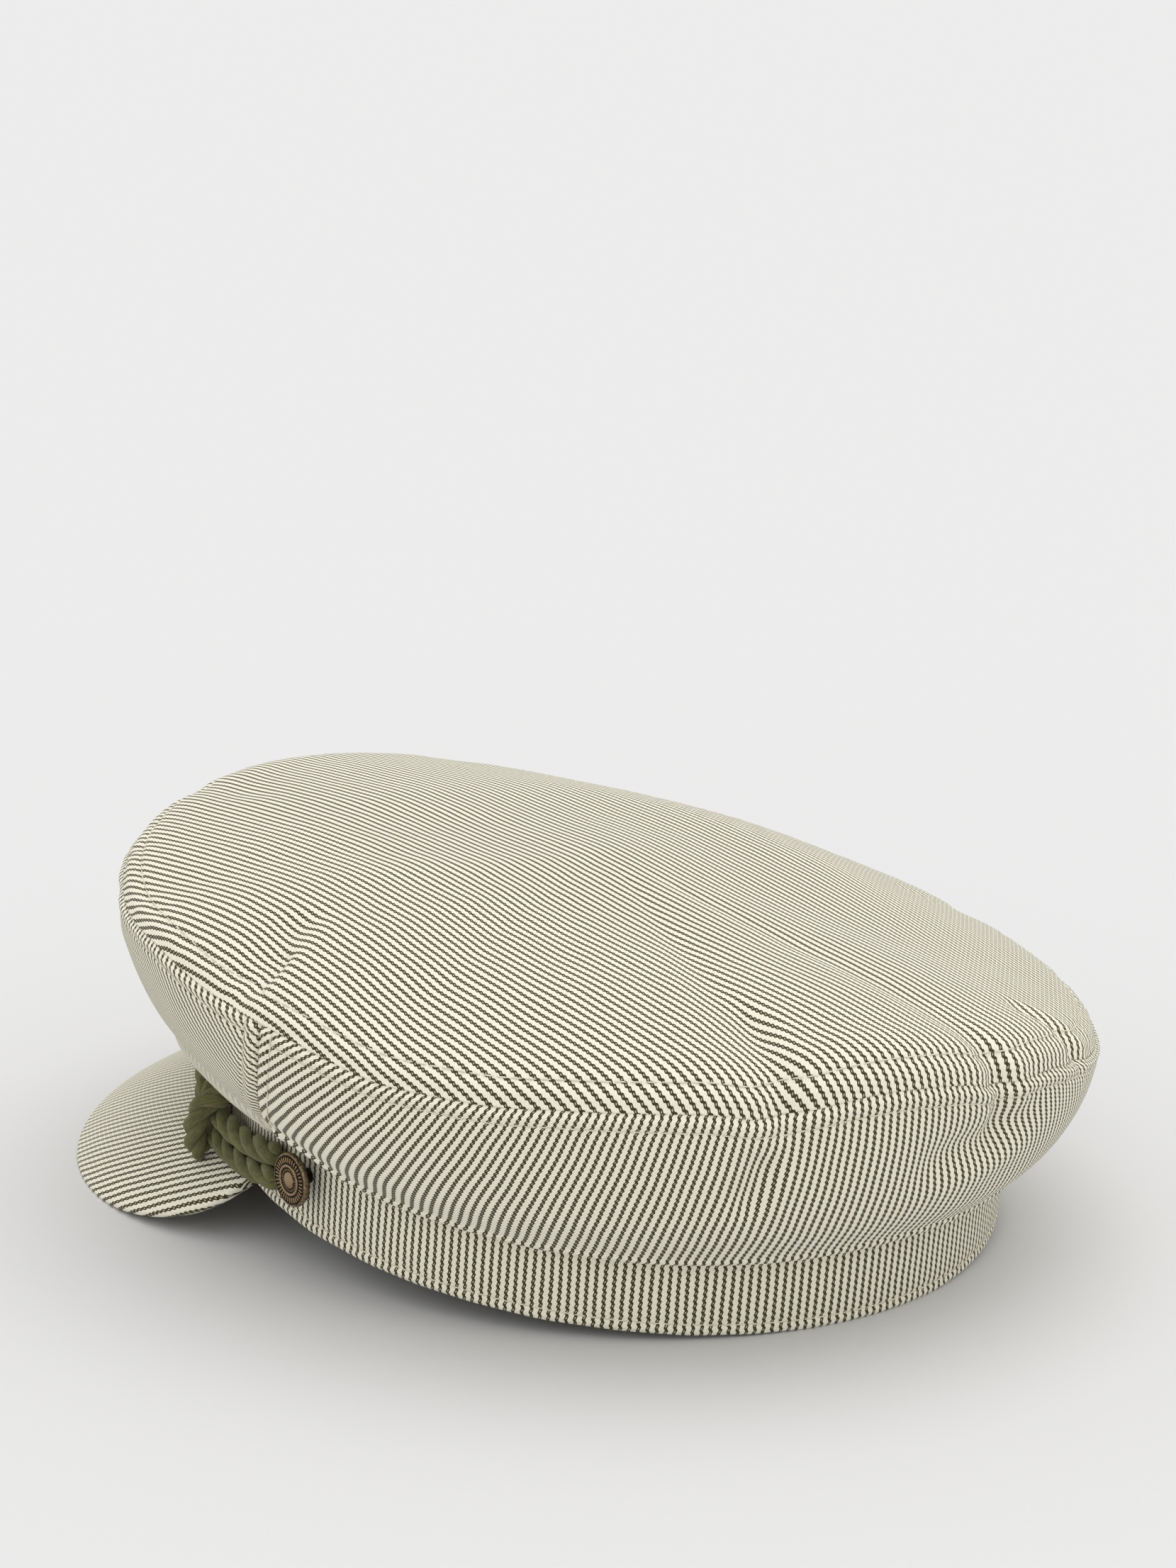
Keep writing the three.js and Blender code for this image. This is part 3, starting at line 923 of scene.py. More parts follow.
@dataclass(frozen=True)
class FloorFinish:
    """Plain pale paper floor."""

    name: str = "pale_floor"
    colour: Colour = (0.722, 0.72, 0.722, 1)
    lighter: Colour = (0.74366, 0.7416, 0.74366, 1)

    def build(self) -> Material:
        """Makes the material.

        Returns:
            The material.
        """
        material, w, shader = start_material(self.name)
        w.feed(shader, {
            "Base Color": w.blend(w.noise(w.place(), 900, 2), self.colour, self.lighter),
            "Roughness": 0.9,
            "Specular IOR Level": 0.1,
        })
        return material


@dataclass
class Stitching:
    """Rows of sewing stitches laid on cloth surfaces."""

    thread: float = 0.4
    length: float = 2.7
    pitch: float = 3.3
    lift: float = 0.06
    segments: int = 6
    bm: BMesh = field(default_factory=bmesh.new)

    def lay(self, points: Sequence[Vector], cloth: BVHTree) -> None:
        """Lays stitches along a line.

        Args:
            points: The line, in the row frame, near the cloth.
            cloth: The cloth's surface.
        """
        travelled, due = 0.0, 0.0
        for start, end in zip(points, points[1:]):
            step = (end - start).length * 1000
            while due <= travelled + step and step > 0:
                middle = start.lerp(end, (due - travelled) / step)
                self.add(middle, (end - start).normalized(), cloth)
                due += self.pitch
            travelled += step

    def add(self, middle: Vector, along: Vector, cloth: BVHTree) -> None:
        """Adds one stitch, pressed into the cloth at both its ends.

        Args:
            middle: Its middle, in the row frame, near the cloth.
            along: Its direction.
            cloth: The cloth's surface.
        """
        spot, normal, _, _ = cloth.find_nearest(middle)
        if spot is None:
            return
        along = (along - normal * along.dot(normal)).normalized()
        side = normal.cross(along)
        turn = Matrix((along, side, normal)).transposed().to_4x4()
        size = Matrix.Diagonal((self.length / 2000, self.thread / 2000, self.thread / 2000, 1))
        quarter = Matrix.Rotation(math.pi / 2, 4, "Y")
        matrix = Matrix.Translation(spot + normal * self.lift / 1000) @ turn @ size @ quarter
        bmesh.ops.create_uvsphere(self.bm, u_segments=self.segments, v_segments=self.segments,
                                  radius=1.0, matrix=matrix)


class ConeLay(NamedTuple):
    """How a piece of cloth cut as part of a cone lies round the cap.

    Attributes:
        middle: Angle round the cap where its stripes stand upright, in degrees.
        turn: Turn of the flat cloth for each turn round the cap.
        take_up: Length of flat cloth for each length on the cap.
    """

    middle: float
    turn: float
    take_up: float


@dataclass
class Crown:
    """The crown's cloth: a domed top and a wall in two halves."""

    shape: CapShape
    columns: int = 480
    top_rows: Sequence[tuple[float, float, int]] = ((0, 8, 22), (8, 30, 18), (30, 66, 14))
    top_radius: float = 125.0
    pole_rows: int = 14
    leg: float = 44.0
    half_round: float = 370.0
    edge: float = 9.0
    front_lay: ConeLay = ConeLay(0.0, 0.42, 1.05)
    back_lay: ConeLay = ConeLay(163.0, 0.62, 1.08)
    roll_round: float = 6.0
    half_gap: float = 0.08
    groove: float = 0.95
    groove_width: float = 1.25
    side_groove: float = 0.8
    allowance: float = 0.28
    allowance_place: float = 2.3
    stitch_valley: float = 0.32
    stitch_line: float = 4.6
    side_stitch_line: float = 4.0
    side_radius: float = 108.0
    pucker: float = 0.32
    pucker_width: float = 8.0
    seam_lift: float = 0.15
    top_slack: float = 0.45
    wall_slack: float = 0.5
    hem_fade: float = 0.8
    hem_fade_start: float = 0.86
    hem_fade_span: float = 0.16
    top_cloth: BVHTree | None = None
    wall_cloth: dict[bool, BVHTree] = field(default_factory=dict)

    def seam_relief(self, distance: float, round_: float, z: float) -> float:
        """Relief of cloth beside a seam: groove, folded allowance and stitch line.

        Args:
            distance: Distance from the seam, in millimetres.
            round_: Distance along the seam, in millimetres.
            z: A number that keeps one seam's unevenness apart from another's.

        Returns:
            Height in millimetres.
        """
        pucker = ruffle(round_ / 4.2, distance / 14, z) * bump(distance, self.pucker_width)
        return (
            -self.groove * bump(distance, self.groove_width)
            + self.allowance * bump(distance - self.allowance_place, 1.5)
            - self.stitch_valley * bump(distance - self.stitch_line, 0.6)
            + self.pucker * pucker
        )

    def side_relief(self, beside: float, down: float) -> float:
        """Relief of the wall beside a side seam.

        Args:
            beside: Distance from the side seam, in millimetres.
            down: Distance below the top seam, in millimetres.

        Returns:
            Height in millimetres.
        """
        pucker = ruffle(down / 5, beside / 9, 9.0) * bump(beside, self.pucker_width)
        return (
            0.3 * bump(beside - 2.0, 1.3)
            - self.side_groove * bump(beside, 1.1)
            - 0.3 * bump(beside - self.side_stitch_line, 0.6)
            + 0.25 * pucker
        )

    def build_top(self, material: Material) -> Object:
        """Builds the domed top.

        Args:
            material: The cloth.

        Returns:
            The piece.
        """
        shape = self.shape
        reaches = [1 - row / self.top_radius for row in spread(self.top_rows)]
        reaches += spread(((reaches[-1], 0, self.pole_rows),))[1:]
        angles = [360 * i / self.columns for i in range(self.columns + 1)]
        flat: dict[tuple[float, float], float] = {}
        for angle in angles[:-1]:
            length, last = 0.0, shape.top_point(angle, 0.0)
            for reach in reversed(reaches):
                point = shape.top_point(angle, reach)
                length += (point - last).length
                flat[angle, reach], last = length, point

        def place(angle: float, reach: float) -> Spot:
            """Point of the top; its pattern keeps the lengths from the middle outward.

            Args:
                angle: Place round the cap, in degrees.
                reach: 1 at the seam, 0 in the middle of the top.

            Returns:
                The vertex.
            """
            angle = angle % 360
            distance = (1 - reach) * shape.seam_radius(angle)
            point = shape.top_point(angle, reach)
            spoke = shape.oval(angle, shape.crown_width, shape.crown_length, 0).normalized()
            pattern = spoke * flat[angle, reach]
            relief = self.seam_relief(distance, shape.crown_arc(angle), 1.0)
            point.z += self.seam_lift * bump(distance, 1)
            slack = self.top_slack * ruffle(point.x / 26, point.y / 34, 0.0, 2)
            slack += 0.12 * ruffle(point.x / 9, point.y / 12, 0.0, 3)
            point.z += slack * min(distance / 12, 1)
            return Spot(to_world(point), (pattern.x, pattern.y), 0.0, relief)

        bm = wrap_grid(angles, reaches, place)
        face_out(bm, Vector((0, 0, 0.02)))
        make_cloth(bm, shape.crown_cloth)
        self.top_cloth = BVHTree.FromBMesh(bm)
        return make_piece("crown_top_cloth", bm, material, Slot.CLOTH, "crown_top")

    def side_seam(self, run: float) -> float:
        """Angle of the side seam at a place down the wall."""
        return mix(self.shape.side_seam_top, self.shape.side_seam_foot, min(run, 1) ** 2.2)

    def build_wall(self, is_front: bool, material: Material) -> Object:
        """Builds one half of the wall.

        Args:
            is_front: True for the front half.
            material: The cloth.

        Returns:
            The piece.
        """
        shape = self.shape
        lay = self.front_lay if is_front else self.back_lay
        bend, edge = 8 / self.leg, self.edge / self.half_round
        runs = spread(((0, bend, 20), (bend, 1, 32), (1, 2, 12), (2, 3, 3)))
        shares = spread(((0, edge, 18), (edge, 1 - edge, 222), (1 - edge, 1, 18)))
        development = shape.crown_arc(360) / (2 * math.pi) / lay.turn

        def place(share: float, run: float) -> Spot:
            """Point of the wall; its pattern is that of a cone laid flat.

            Args:
                share: 0 to 1 along the half, from seam to seam.
                run: Place down the wall, as in CapShape.wall_point.

            Returns:
                The vertex.
            """
            seam = self.side_seam(run) + (-self.half_gap if is_front else self.half_gap)
            start, end = (-seam, seam) if is_front else (seam, 360 - seam)
            angle = mix(start, end, share)
            point = shape.wall_point(angle, run)
            on_leg, past_leg = min(run, 1), max(run - 1, 0)
            down = on_leg * self.leg
            beside = min(share, 1 - share) * self.half_round * mix(1, 0.8, on_leg)
            turned = math.radians(angle - lay.middle) * lay.turn
            reach = lay.take_up * (development - down - past_leg * self.roll_round)
            pattern = (reach * math.sin(turned), reach * math.cos(turned))
            relief = self.seam_relief(down, shape.crown_arc(angle % 360), 5.0)
            relief += self.side_relief(beside, down)
            upper = max(1 - past_leg, 0)
            slack = self.wall_slack * ruffle(point.x / 22, point.y / 22, point.z / 30, 4)
            point += shape.crown_out(angle) * slack * min(down / 10, 1) * upper
            point.z -= self.seam_lift * bump(down, 1)
            fade = 0.0
            if is_front and run > self.hem_fade_start:
                fade = self.hem_fade * min((run - self.hem_fade_start) / self.hem_fade_span, 1)
            return Spot(to_world(point), pattern, fade, relief * upper)

        bm = wrap_grid(shares, runs, place)
        face_out(bm, Vector((0, 0, 0.045)))
        make_cloth(bm, shape.crown_cloth)
        self.wall_cloth[is_front] = BVHTree.FromBMesh(bm)
        name = "crown_front" if is_front else "crown_back"
        return make_piece(f"{name}_cloth", bm, material, Slot.CLOTH, name)

    def on_wall(self, angle: float, run: float) -> Vector:
        """Point of the wall's outer face, in the row frame."""
        out = self.shape.crown_out(angle) * self.shape.crown_cloth / 2
        return to_world(self.shape.wall_point(angle, run) + out)

    def stitch(self, stitching: Stitching) -> None:
        """Lays the topstitching beside the top seam and the side seams.

        Args:
            stitching: Takes up the stitches.
        """
        shape = self.shape
        half_cloth = Vector((0, 0, shape.crown_cloth / 2))
        line = []
        for turn in range(721):
            reach = 1 - self.stitch_line / shape.seam_radius(turn / 2)
            line.append(to_world(shape.top_point(turn / 2, reach) + half_cloth))
        stitching.lay(line, self.top_cloth)
        run = self.stitch_line / self.leg
        beside = math.degrees(self.side_stitch_line / self.side_radius)
        for is_front, cloth in self.wall_cloth.items():
            seam = self.side_seam(run)
            start, end = (-seam + 2, seam - 2) if is_front else (seam + 2, 358 - seam)
            row = [self.on_wall(mix(start, end, i / 360), run) for i in range(361)]
            stitching.lay(row, cloth)
            shift = -beside if is_front else beside
            for sign in (1, -1):
                side = [self.on_wall(sign * (self.side_seam(i / 41) + shift), i / 41)
                        for i in range(2, 41)]
                stitching.lay(side, cloth)


@dataclass
class Band:
    """The headband, a folded strip with one row of stitches above its lower edge."""

    shape: CapShape
    columns: int = 420
    stitch_line: float = 3.1
    stitched: tuple[int, int] = (78, 283)
    stitch_valley: float = 0.28
    edge_fold: float = 0.15
    pucker: float = 0.2
    slack: float = 0.25
    wavy_edge: float = 0.22
    cloth: BVHTree | None = None

    def build(self, material: Material) -> Object:
        """Builds the band as a ring with a rounded lower edge.

        Args:
            material: The cloth.

        Returns:
            The piece.
        """
        shape = self.shape
        radius = shape.band_cloth / 2
        outer = [(0.0, height) for height in spread(((shape.band_height, 8, 14), (8, radius, 14)))]
        turn = [(-radius + radius * math.cos(a), radius - radius * math.sin(a))
                for a in (math.pi * i / 8 for i in range(1, 8))]
        inside = spread(((radius, 8, 4), (8, shape.band_height, 5)))
        inner = [(-shape.band_cloth, height) for height in inside]
        section = outer + turn + inner + [outer[0]]
        angles = [360 * i / self.columns for i in range(self.columns + 1)]

        def place(angle: float, row: int) -> Spot:
            """Point of the band.

            Args:
                angle: Place round the cap, in degrees.
                row: Place in the section.

            Returns:
                The vertex.
            """
            stand_off, height = section[row]
            angle = angle % 360
            round_ = shape.band_arc(angle)
            relief = 0.0
            if row < len(outer):
                relief -= self.stitch_valley * bump(height - self.stitch_line, 0.7)
                relief += self.edge_fold * bump(height - 1.6, 1.1)
                relief += self.pucker * ruffle(round_ / 5, height / 9, 3.0) * bump(height, 7)
                relief += self.slack * ruffle(round_ / 28, height / 25, 6.0)
            lift = self.wavy_edge * (ruffle(round_ / 11, 0.0, 8.0) + 0.5) * bump(height, 4)
            point = shape.band_point(angle, stand_off + relief, height + lift)
            return Spot(to_world(point), (round_, height - stand_off))

        bm = wrap_grid(angles, range(len(section)), place)
        settle(bm)
        self.cloth = BVHTree.FromBMesh(bm)
        return make_piece("band_cloth", bm, material, Slot.CLOTH, "band")

    def stitch(self, stitching: Stitching) -> None:
        """Lays the stitches above the lower edge, leaving out what the peak covers.

        Args:
            stitching: Takes up the stitches.
        """
        start, end = self.stitched
        line = [to_world(self.shape.band_point(turn / 2, 0.2, self.stitch_line))
                for turn in range(2 * start, 2 * end)]
        stitching.lay(line, self.cloth)


@dataclass
class Peak:
    """The short cloth-covered peak."""

    shape: CapShape
    reach: float = 56.0
    corner: float = 3.0
    spread_angle: float = 73.5
    cloth_thickness: float = 2.8
    bow: float = 2.0
    drop_middle: float = 27.0
    drop_corner: float = 40.0
    root_gap: float = 0.42
    cone_slant: float = 185.0
    cone_turn: float = 0.5
    columns: int = 220
    edge_thinning: float = 0.25
    edge_round: float = 0.8
    slack: float = 0.25
    # Painted light: stripes faded towards the peak's front middle, paler and lower in contrast,
    # for its strongly lit, blurred look
    fade: float = 0.5
    fade_angle: float = 55.0
    fade_span: float = 35.0

    def outline(self, angle: float) -> tuple[float, float]:
        """Reach in millimetres and drop in degrees at an angle.

        Args:
            angle: Place round the cap, in degrees.

        Returns:
            The reach and the drop.
        """
        share = min(abs(angle) / self.spread_angle, 1)
        reach = self.corner + (self.reach - self.corner) * (1 - share**2.2) ** 0.62
        return reach, mix(self.drop_middle, self.drop_corner, share**2)

    def middle_point(self, angle: float, share: float) -> Vector:
        """Point of the peak's middle surface.

        Args:
            angle: Place round the cap, in degrees.
            share: 0 at the band, 1 at the outer edge.

        Returns:
            The point in the upright frame.
        """
        reach, drop = self.outline(angle)
        out = share * reach
        point = self.shape.band_point(angle, self.root_gap, self.cloth_thickness / 2)
        point += self.shape.band_out(angle) * out * math.cos(math.radians(drop))
        lift = self.bow * math.sin(math.pi * share) * reach / self.reach
        point.z -= out * math.sin(math.radians(drop)) - lift
        return point

    def build(self, material: Material) -> Object:
        """Builds the peak as one closed shell with a rounded edge.

        Args:
            material: The cloth.

        Returns:
            The piece.
        """
        half = self.cloth_thickness / 2
        top = [(share, 1.0) for share in spread(((0, 0.9, 26), (0.9, 1, 8)))]
        under = [(share, -1.0) for share in reversed(spread(((0, 0.9, 14), (0.9, 1, 8))))]
        turn = [(1.0, math.cos(math.pi * i / 6)) for i in range(1, 6)]
        section = top + turn + under + [top[0]]
        evenly = [2 * i / self.columns - 1 for i in range(self.columns + 1)]
        angles = [self.spread_angle * (at + math.sin(at * math.pi / 2)) / 2 for at in evenly]

        def place(angle: float, row: int) -> Spot:
            """Point of the peak; its pattern is that of a cone laid flat.

            Args:
                angle: Place round the cap, in degrees.
                row: Place in the section.

            Returns:
                The vertex.
            """
            share, side = section[row]
            point = self.middle_point(angle, share)
            along = self.middle_point(angle, share + 0.01) - self.middle_point(angle, share - 0.01)
            across = self.middle_point(angle + 0.3, share) - self.middle_point(angle - 0.3, share)
            normal = across.cross(along).normalized()
            normal = -normal if normal.z < 0 else normal
            if share == 0:
                normal = Vector((0, 0, 1))
            round_out = math.sqrt(max(1 - side**2, 0)) * half if share == 1 else 0.0
            thin = 1 - self.edge_thinning * max(1 - (1 - share) * 8, 0)
            point += normal * side * half * thin
            point += along.normalized() * round_out * self.edge_round
            facing = self.shape.band_out(angle)
            turned = self.cone_turn * math.atan2(facing.x, -facing.y)
            reach = self.outline(angle)[0]
            spent = reach * (share if side > -1 else 2 - share)
            slant = self.cone_slant + spent + half * math.acos(side)
            relief = self.slack * ruffle(point.x / 30, point.y / 30, 1.0) if side > 0 else 0.0
            pattern = (slant * math.sin(turned), -slant * math.cos(turned))
            # Painted light: share of fading for the strongly lit, blurred front middle of the peak
            strong_light_fade = min(max((self.fade_angle - abs(angle)) / self.fade_span, 0), 1)
            return Spot(to_world(point + normal * relief), pattern, self.fade * strong_light_fade)

        bm = wrap_grid(angles, range(len(section)), place)
        close_ends(bm)
        settle(bm)
        return make_piece("visor_cloth", bm, material, Slot.CLOTH, "visor")


@dataclass
class Cord:
    """Three-strand cord: two runs across the front and the turns that tie them together."""

    shape: CapShape
    diameter: float = 5.6
    lay: float = 24.5
    knot_lay: float = 17.0
    strands: int = 3
    strand_sides: int = 12
    strand_radius: float = 1.52
    helix_radius: float = 1.42
    knot_angle: float = 64.0
    knot_slant: float = 3.6
    knot_lower_turn: float = -58.0
    knot_upper_turn: float = 96.0
    knot_spread_turn: float = 40.0
    run_rows: int = 330
    knot_rows: int = 60
    run_phase: float = 1.3
    knot_phase: float = 0.4
    end_round: float = 0.9
    unevenness: float = 0.05

    def route_point(self, angle: float, column: int) -> Vector:
        """Point of a run's middle line.

        Args:
            angle: Place round the cap, in degrees.
            column: 1 for the lower run, 2 for the upper.

        Returns:
            The point in the upright frame.
        """
        side = self.shape.from_front(angle)
        height = read_table(ROPE_ROUTE, column, side) * self.diameter
        stand = read_table(ROPE_ROUTE, 3, side) * self.diameter
        return self.shape.band_point(angle, stand + self.shape.sewn_gap, height)

    def taper(self, place: float, length: float) -> float:
        """Share of the full size at a place along the cord, drawn in to a round at both ends."""
        end = min(place, length - place) / (self.end_round * self.strand_radius)
        return math.sqrt(max(1 - (1 - end) ** 2, 0.02)) if end < 1 else 1.0

    def twist(
        self, path: Sequence[Vector], outward: Sequence[Vector], phase: float, lay: float
    ) -> BMesh:
        """Lays three strands round a path.

        Args:
            path: Evenly spaced points of the cord's middle, in the upright frame.
            outward: A direction off the path at each point.
            phase: Turn of the first strand, in radians.
            lay: Length of one turn of the strands, in millimetres.

        Returns:
            The three closed strands in one bmesh.
        """
        count = len(path)

        def frame_at(points: Sequence[Vector], i: int) -> tuple[Vector, Vector]:
            """Two directions square to a line of points.

            Args:
                points: The line.
                i: Place in it.

            Returns:
                Directions outward and sideways.
            """
            tangent = (points[min(i + 1, count - 1)] - points[max(i - 1, 0)]).normalized()
            normal = (outward[i] - tangent * outward[i].dot(tangent)).normalized()
            return normal, tangent.cross(normal)

        lengths = [0.0]
        for a, b in zip(path, path[1:]):
            lengths.append(lengths[-1] + (b - a).length)
        whole = bmesh.new()
        whole.loops.layers.uv.new("cloth")
        for strand in range(self.strands):
            centres = []
            for i in range(count):
                normal, other = frame_at(path, i)
                a = phase + 2 * math.pi * (strand / self.strands + lengths[i] / lay)
                off = self.helix_radius * self.taper(lengths[i], lengths[-1])
                centres.append(path[i] + (normal * math.cos(a) + other * math.sin(a)) * off)

            def place(around: float, i: int) -> Spot:
                """Point of the strand.

                Args:
                    around: Place round the strand, 0 to 1.
                    i: Place along it.

                Returns:
                    The vertex.
                """
                normal, other = frame_at(centres, i)
                a = 2 * math.pi * (around % 1)
                swell = 1 + self.unevenness * ruffle(lengths[i] / 3, strand * 7.0, around % 1)
                radius = self.strand_radius * swell * self.taper(lengths[i], lengths[-1])
                point = centres[i] + (normal * math.cos(a) + other * math.sin(a)) * radius
                round_ = around * 2 * math.pi * self.strand_radius
                return Spot(to_world(point), (round_, lengths[i]))

            around = [i / self.strand_sides for i in range(self.strand_sides + 1)]
            bm = wrap_grid(around, range(count), place)
            close_ends(bm)
            settle(bm)
            mesh = bpy.data.meshes.new("strand")
            bm.to_mesh(mesh)
            bm.free()
            whole.from_mesh(mesh)
            bpy.data.meshes.remove(mesh)
        return whole

    def build_run(self, name: str, column: int, material: Material) -> Object:
        """Builds one run of cord across the front.

        Args:
            name: The run's CAD node.
            column: 1 for the lower run, 2 for the upper.
            material: The cord's finish.

        Returns:
            The piece.
        """
        end = ROPE_ROUTE[-1][0]
        angles = spread(((-end, end, self.run_rows),))
        path = [self.route_point(angle, column) for angle in angles]
        outward = [self.shape.band_out(angle) for angle in angles]
        bm = self.twist(path, outward, self.run_phase * column, self.lay)
        return make_piece(f"{name}_cord", bm, material, Slot.CORD, name)

    def build_knot(self, name: str, side: int, material: Material) -> Object:
        """Builds the turn of cord that ties the two runs together.

        Args:
            name: The knot's CAD node.
            side: 1 on the wearer's left, -1 on the right.
            material: The cord's finish.

        Returns:
            The piece.
        """
        lower = self.route_point(self.knot_angle, 1)
        upper = self.route_point(self.knot_angle, 2)
        middle, spacing = (lower + upper) / 2, upper.z - lower.z
        out = self.diameter + self.shape.sewn_gap
        base = self.shape.band_out(self.knot_angle)
        along_band = Vector((-base.y, base.x, 0))
        path, outward = [], []
        for turn in spread(((self.knot_lower_turn, self.knot_upper_turn, self.knot_rows),)):
            a = math.radians(turn)
            rise = max(-1.0, min(1.0, turn / self.knot_spread_turn)) * spacing / 2
            point = middle + base * out * math.cos(a) + along_band * self.knot_slant * math.sin(a)
            point.z += out * math.sin(a) + rise
            direction = base * math.cos(a) + Vector((0, 0, math.sin(a)))
            path.append(Vector((point.x * side, point.y, point.z)))
            outward.append(Vector((direction.x * side, direction.y, direction.z)))
        bm = self.twist(path, outward, self.knot_phase, self.knot_lay)
        return make_piece(f"{name}_cord", bm, material, Slot.CORD, name)


# The button's face from its back edge to its middle: share of the radius, height, how far rubbed
BUTTON_FACE: Table = (
    (0.88, 0.05, 0.1), (0.97, 0.4, 0.3), (1, 0.9, 0.5), (1, 1.35, 0.55), (0.96, 1.8, 0.6),
    (0.91, 1.85, 0.4), (0.88, 1.6, 0), (0.62, 1.75, 0), (0.59, 1.8, 0), (0.57, 2.15, 0.8),
    (0.52, 2.25, 0.9), (0.49, 2.1, 0.6), (0.46, 1.75, 0), (0.33, 1.8, 0), (0.3, 2.0, 0.6),
    (0.22, 2.3, 0.9), (0.1, 2.4, 1), (0, 2.45, 1),
)


@dataclass
class Button:
    """A sewn brass button with a ribbed border and a plain domed middle."""

    shape: CapShape
    diameter: float = 12.8
    stand: float = 3.9
    shank: float = 3.6
    angle: float = 89.3
    height: float = 14.3
    ribs: int = 36
    rib_place: float = 0.745
    rib_size: tuple[float, float] = (0.2, 0.055)
    rib_height: float = 0.5
    rib_rubbed: float = 0.8
    beads: int = 26
    bead_place: float = 0.395
    bead_radius: float = 0.24
    bead_rubbed: float = 0.75
    foot: float = 0.3
    spin_steps: int = 72

    def profile(self) -> list[tuple[float, float, float]]:
        """Half section of the button.

        Returns:
            Radius, height off the band and how far rubbed bright, from the foot to the face.
        """
        radius, shank = self.diameter / 2, self.shank / 2
        stem = [(0.0, self.foot, 0.0), (shank, self.foot, 0.0), (shank, self.stand - 0.6, 0.0)]
        return stem + [(radius * out, self.stand + up, bright) for out, up, bright in BUTTON_FACE]

    def build(self, name: str, side: int, material: Material) -> Object:
        """Builds one button.

        Args:
            name: The button's CAD node.
            side: 1 on the wearer's left, -1 on the right.
            material: The brass.

        Returns:
            The piece.
        """
        bm = bmesh.new()
        raised = bm.verts.layers.float.new("raised")
        verts = []
        for radius, height, bright in self.profile():
            vert = bm.verts.new((radius, 0, height))
            vert[raised] = bright
            verts.append(vert)
        edges = [bm.edges.new(pair) for pair in zip(verts, verts[1:])]
        bmesh.ops.spin(bm, geom=verts + edges, cent=(0, 0, 0), axis=(0, 0, 1), angle=2 * math.pi,
                       steps=self.spin_steps, use_merge=True)
        bmesh.ops.remove_doubles(bm, verts=bm.verts, dist=0.001)
        bmesh.ops.recalc_face_normals(bm, faces=bm.faces)
        radius = self.diameter / 2
        size = Matrix.Diagonal((*(radius * share for share in self.rib_size), self.rib_height, 1))
        for matrix in self.ring(self.ribs, self.rib_place, 1.72):
            made = bmesh.ops.create_cube(bm, size=1.0, matrix=matrix @ size)
            edges = list({edge for vert in made["verts"] for edge in vert.link_edges})
            made = bmesh.ops.bevel(bm, geom=edges, offset=0.1, offset_type="OFFSET",
                                   affect="EDGES", segments=2, profile=0.5, material=-1)
            self.rub(made["verts"], self.rib_rubbed, raised)
        for matrix in self.ring(self.beads, self.bead_place, 1.8):
            made = bmesh.ops.create_icosphere(
                bm, subdivisions=1, radius=self.bead_radius, matrix=matrix
            )
            self.rub(made["verts"], self.bead_rubbed, raised)
        normal = self.shape.band_out(self.angle * side)
        place = self.shape.band_point(self.angle * side, 0, self.height)
        turn = normal.to_track_quat("Z", "Y").to_matrix().to_4x4()
        matrix = HAT_TO_WORLD @ Matrix.Translation(place) @ turn
        bmesh.ops.transform(bm, matrix=matrix, verts=bm.verts)
        return make_piece(f"{name}_brass", bm, material, Slot.BRASS, name)

    def ring(self, count: int, place: float, height: float) -> list[Matrix]:
        """Places of small forms in a ring on the face.

        Args:
            count: How many there are.
            place: Where the ring is, as a share of the radius.
            height: How far they stand above the button's back edge, in millimetres.

        Returns:
            A matrix for each.
        """
        spot = Matrix.Translation((self.diameter / 2 * place, 0, self.stand + height))
        return [Matrix.Rotation(2 * math.pi * i / count, 4, "Z") @ spot for i in range(count)]

    @staticmethod
    def rub(verts: Sequence[BMVert], bright: float, raised: BMLayerItem) -> None:
        """Marks points as rubbed bright."""
        for vert in verts:
            vert[raised] = bright


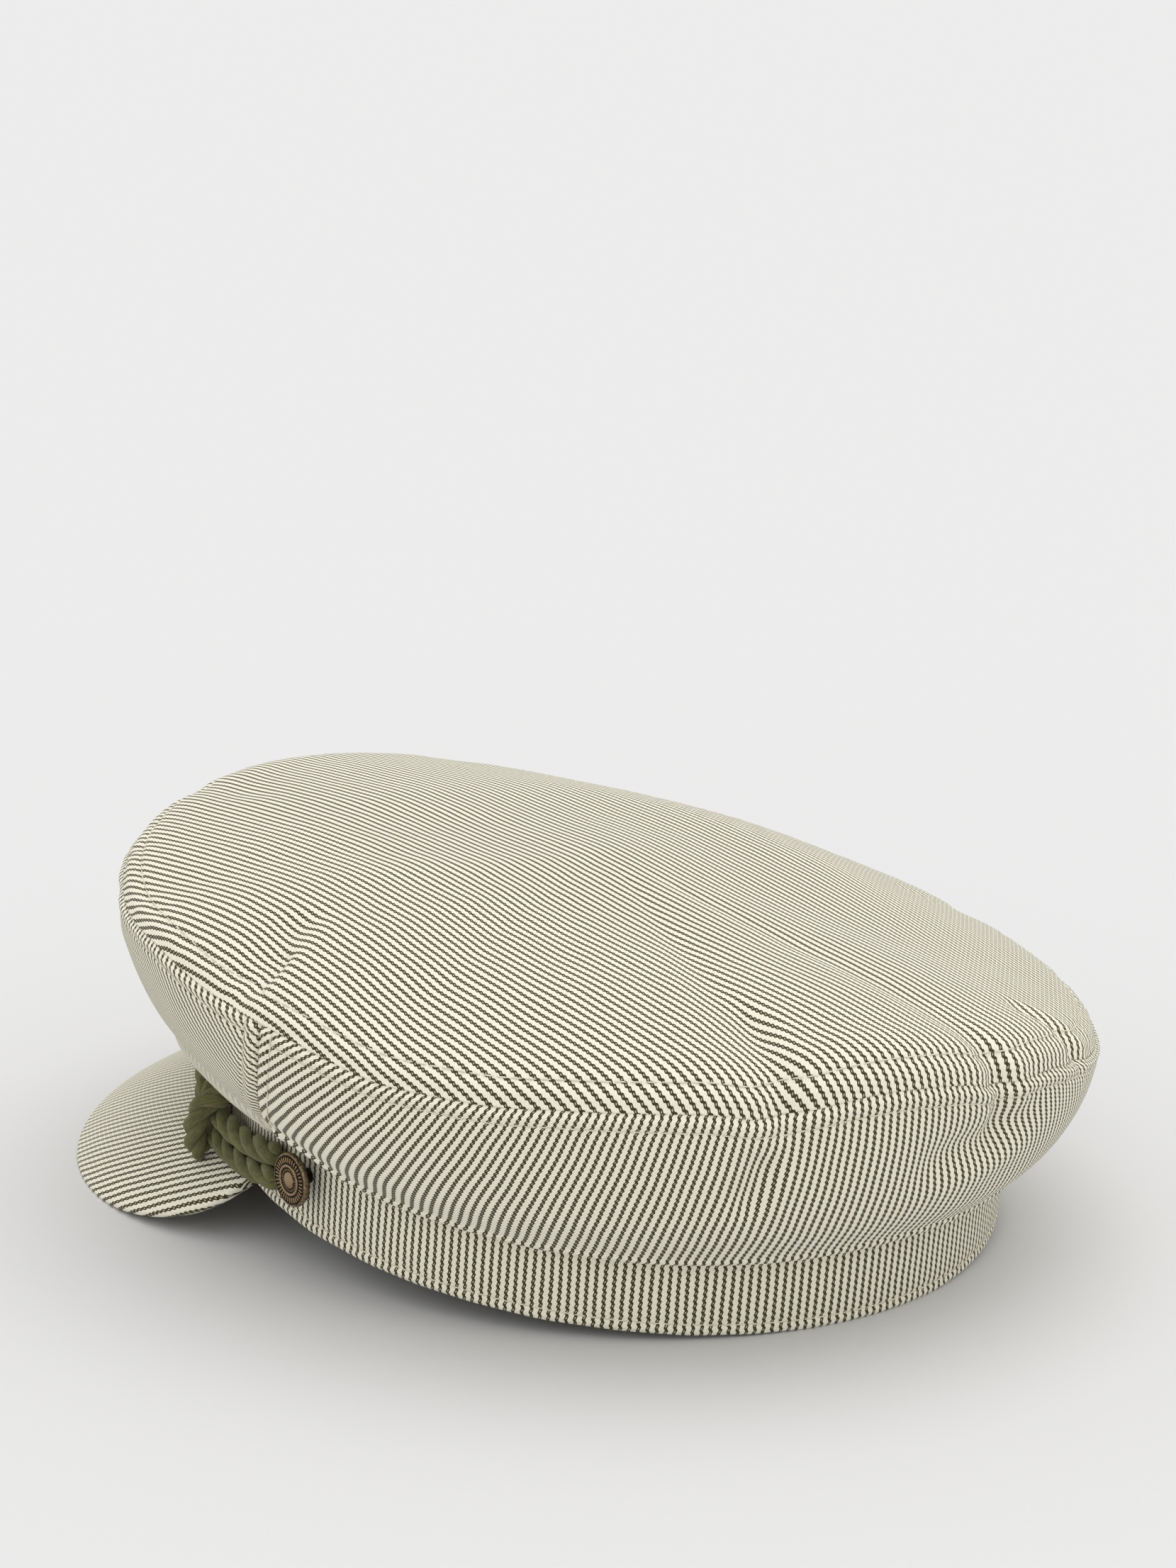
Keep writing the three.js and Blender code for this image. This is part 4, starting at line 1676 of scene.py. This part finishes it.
@dataclass
class Studio:
    """Floor, soft light and the camera at the photograph's angle."""

    eye: tuple[float, float, float] = (0.5788, 0.7259, 0.3380)
    look: tuple[float, float, float] = (-0.6057, -0.7564, -0.2470)
    lens: float = 91.0
    sensor_height: float = 36.0
    floor_size: float = 24.0
    surround: float = 0.84
    lamp_colour: tuple[float, float, float] = (1.0, 0.995, 0.98)
    lamps: tuple[tuple[str, float, float, tuple[float, float, float]], ...] = (
        ("overhead", 0.87, 65.0, (0.28, 0.02, -1.0)),
        ("fill", 0.28, 80.0, (-0.6, -0.65, -0.45)),
    )

    def build_floor(self, material: Material) -> None:
        """Builds the plain floor.

        Args:
            material: Its finish.
        """
        bm = bmesh.new()
        bmesh.ops.create_grid(bm, x_segments=2, y_segments=2, size=self.floor_size / 2)
        make_object("floor", bm, material)

    def build_light(self) -> None:
        """Builds an even pale surround, a wide soft light above and a weak one by the camera."""
        scene = bpy.context.scene
        world = bpy.data.worlds.new("studio")
        world.use_nodes = True
        surround = world.node_tree.nodes["Background"]
        surround.inputs["Color"].default_value = (1.0, 1.0, 1.0, 1)
        surround.inputs["Strength"].default_value = self.surround
        scene.world = world
        for name, energy, spread_angle, direction in self.lamps:
            lamp = bpy.data.lights.new(name, "SUN")
            lamp.energy = energy
            lamp.angle = math.radians(spread_angle)
            lamp.color = self.lamp_colour
            holder = bpy.data.objects.new(name, lamp)
            holder.rotation_euler = Vector(direction).to_track_quat("-Z", "Y").to_euler()
            scene.collection.objects.link(holder)
        scene.view_settings.view_transform = "Standard"

    def build_camera(self) -> None:
        """Builds the camera and makes it the scene's own."""
        forward = Vector(self.look).normalized()
        right = forward.cross(Vector((0, 0, 1))).normalized()
        up = right.cross(forward)
        data = bpy.data.cameras.new("camera")
        data.sensor_fit = "VERTICAL"
        data.sensor_height = self.sensor_height
        data.lens = self.lens
        data.clip_end = 100.0
        camera = bpy.data.objects.new("camera", data)
        turn = Matrix((right, up, -forward)).transposed().to_4x4()
        camera.matrix_world = Matrix.Translation(Vector(self.eye)) @ turn
        bpy.context.scene.collection.objects.link(camera)
        bpy.context.scene.camera = camera


def main() -> None:
    """Builds the studio and the cap in order."""
    logging.basicConfig(level=logging.INFO, format="%(name)s %(message)s")
    shape = CapShape()
    studio = Studio()
    studio.build_camera()
    studio.build_light()
    studio.build_floor(FloorFinish().build())

    cloth = TwillFinish().build(TwillWeave().build())
    cord_finish = CordFinish().build()
    brass = BrassFinish().build(build_wear())

    crown = Crown(shape)
    crown.build_top(cloth)
    crown.build_wall(True, cloth)
    crown.build_wall(False, cloth)
    band = Band(shape)
    band.build(cloth)
    Peak(shape).build(cloth)

    stitching = Stitching()
    crown.stitch(stitching)
    band.stitch(stitching)
    make_piece("stitches", stitching.bm, ThreadFinish().build(), Slot.CLOTH)

    cord = Cord(shape)
    cord.build_run("rope_lower", 1, cord_finish)
    cord.build_run("rope_upper", 2, cord_finish)
    for label, side in (("left", 1), ("right", -1)):
        cord.build_knot(f"knot_{label}", side, cord_finish)
        Button(shape).build(f"button_{label}", side, brass)


if __name__ == "__main__":
    main()
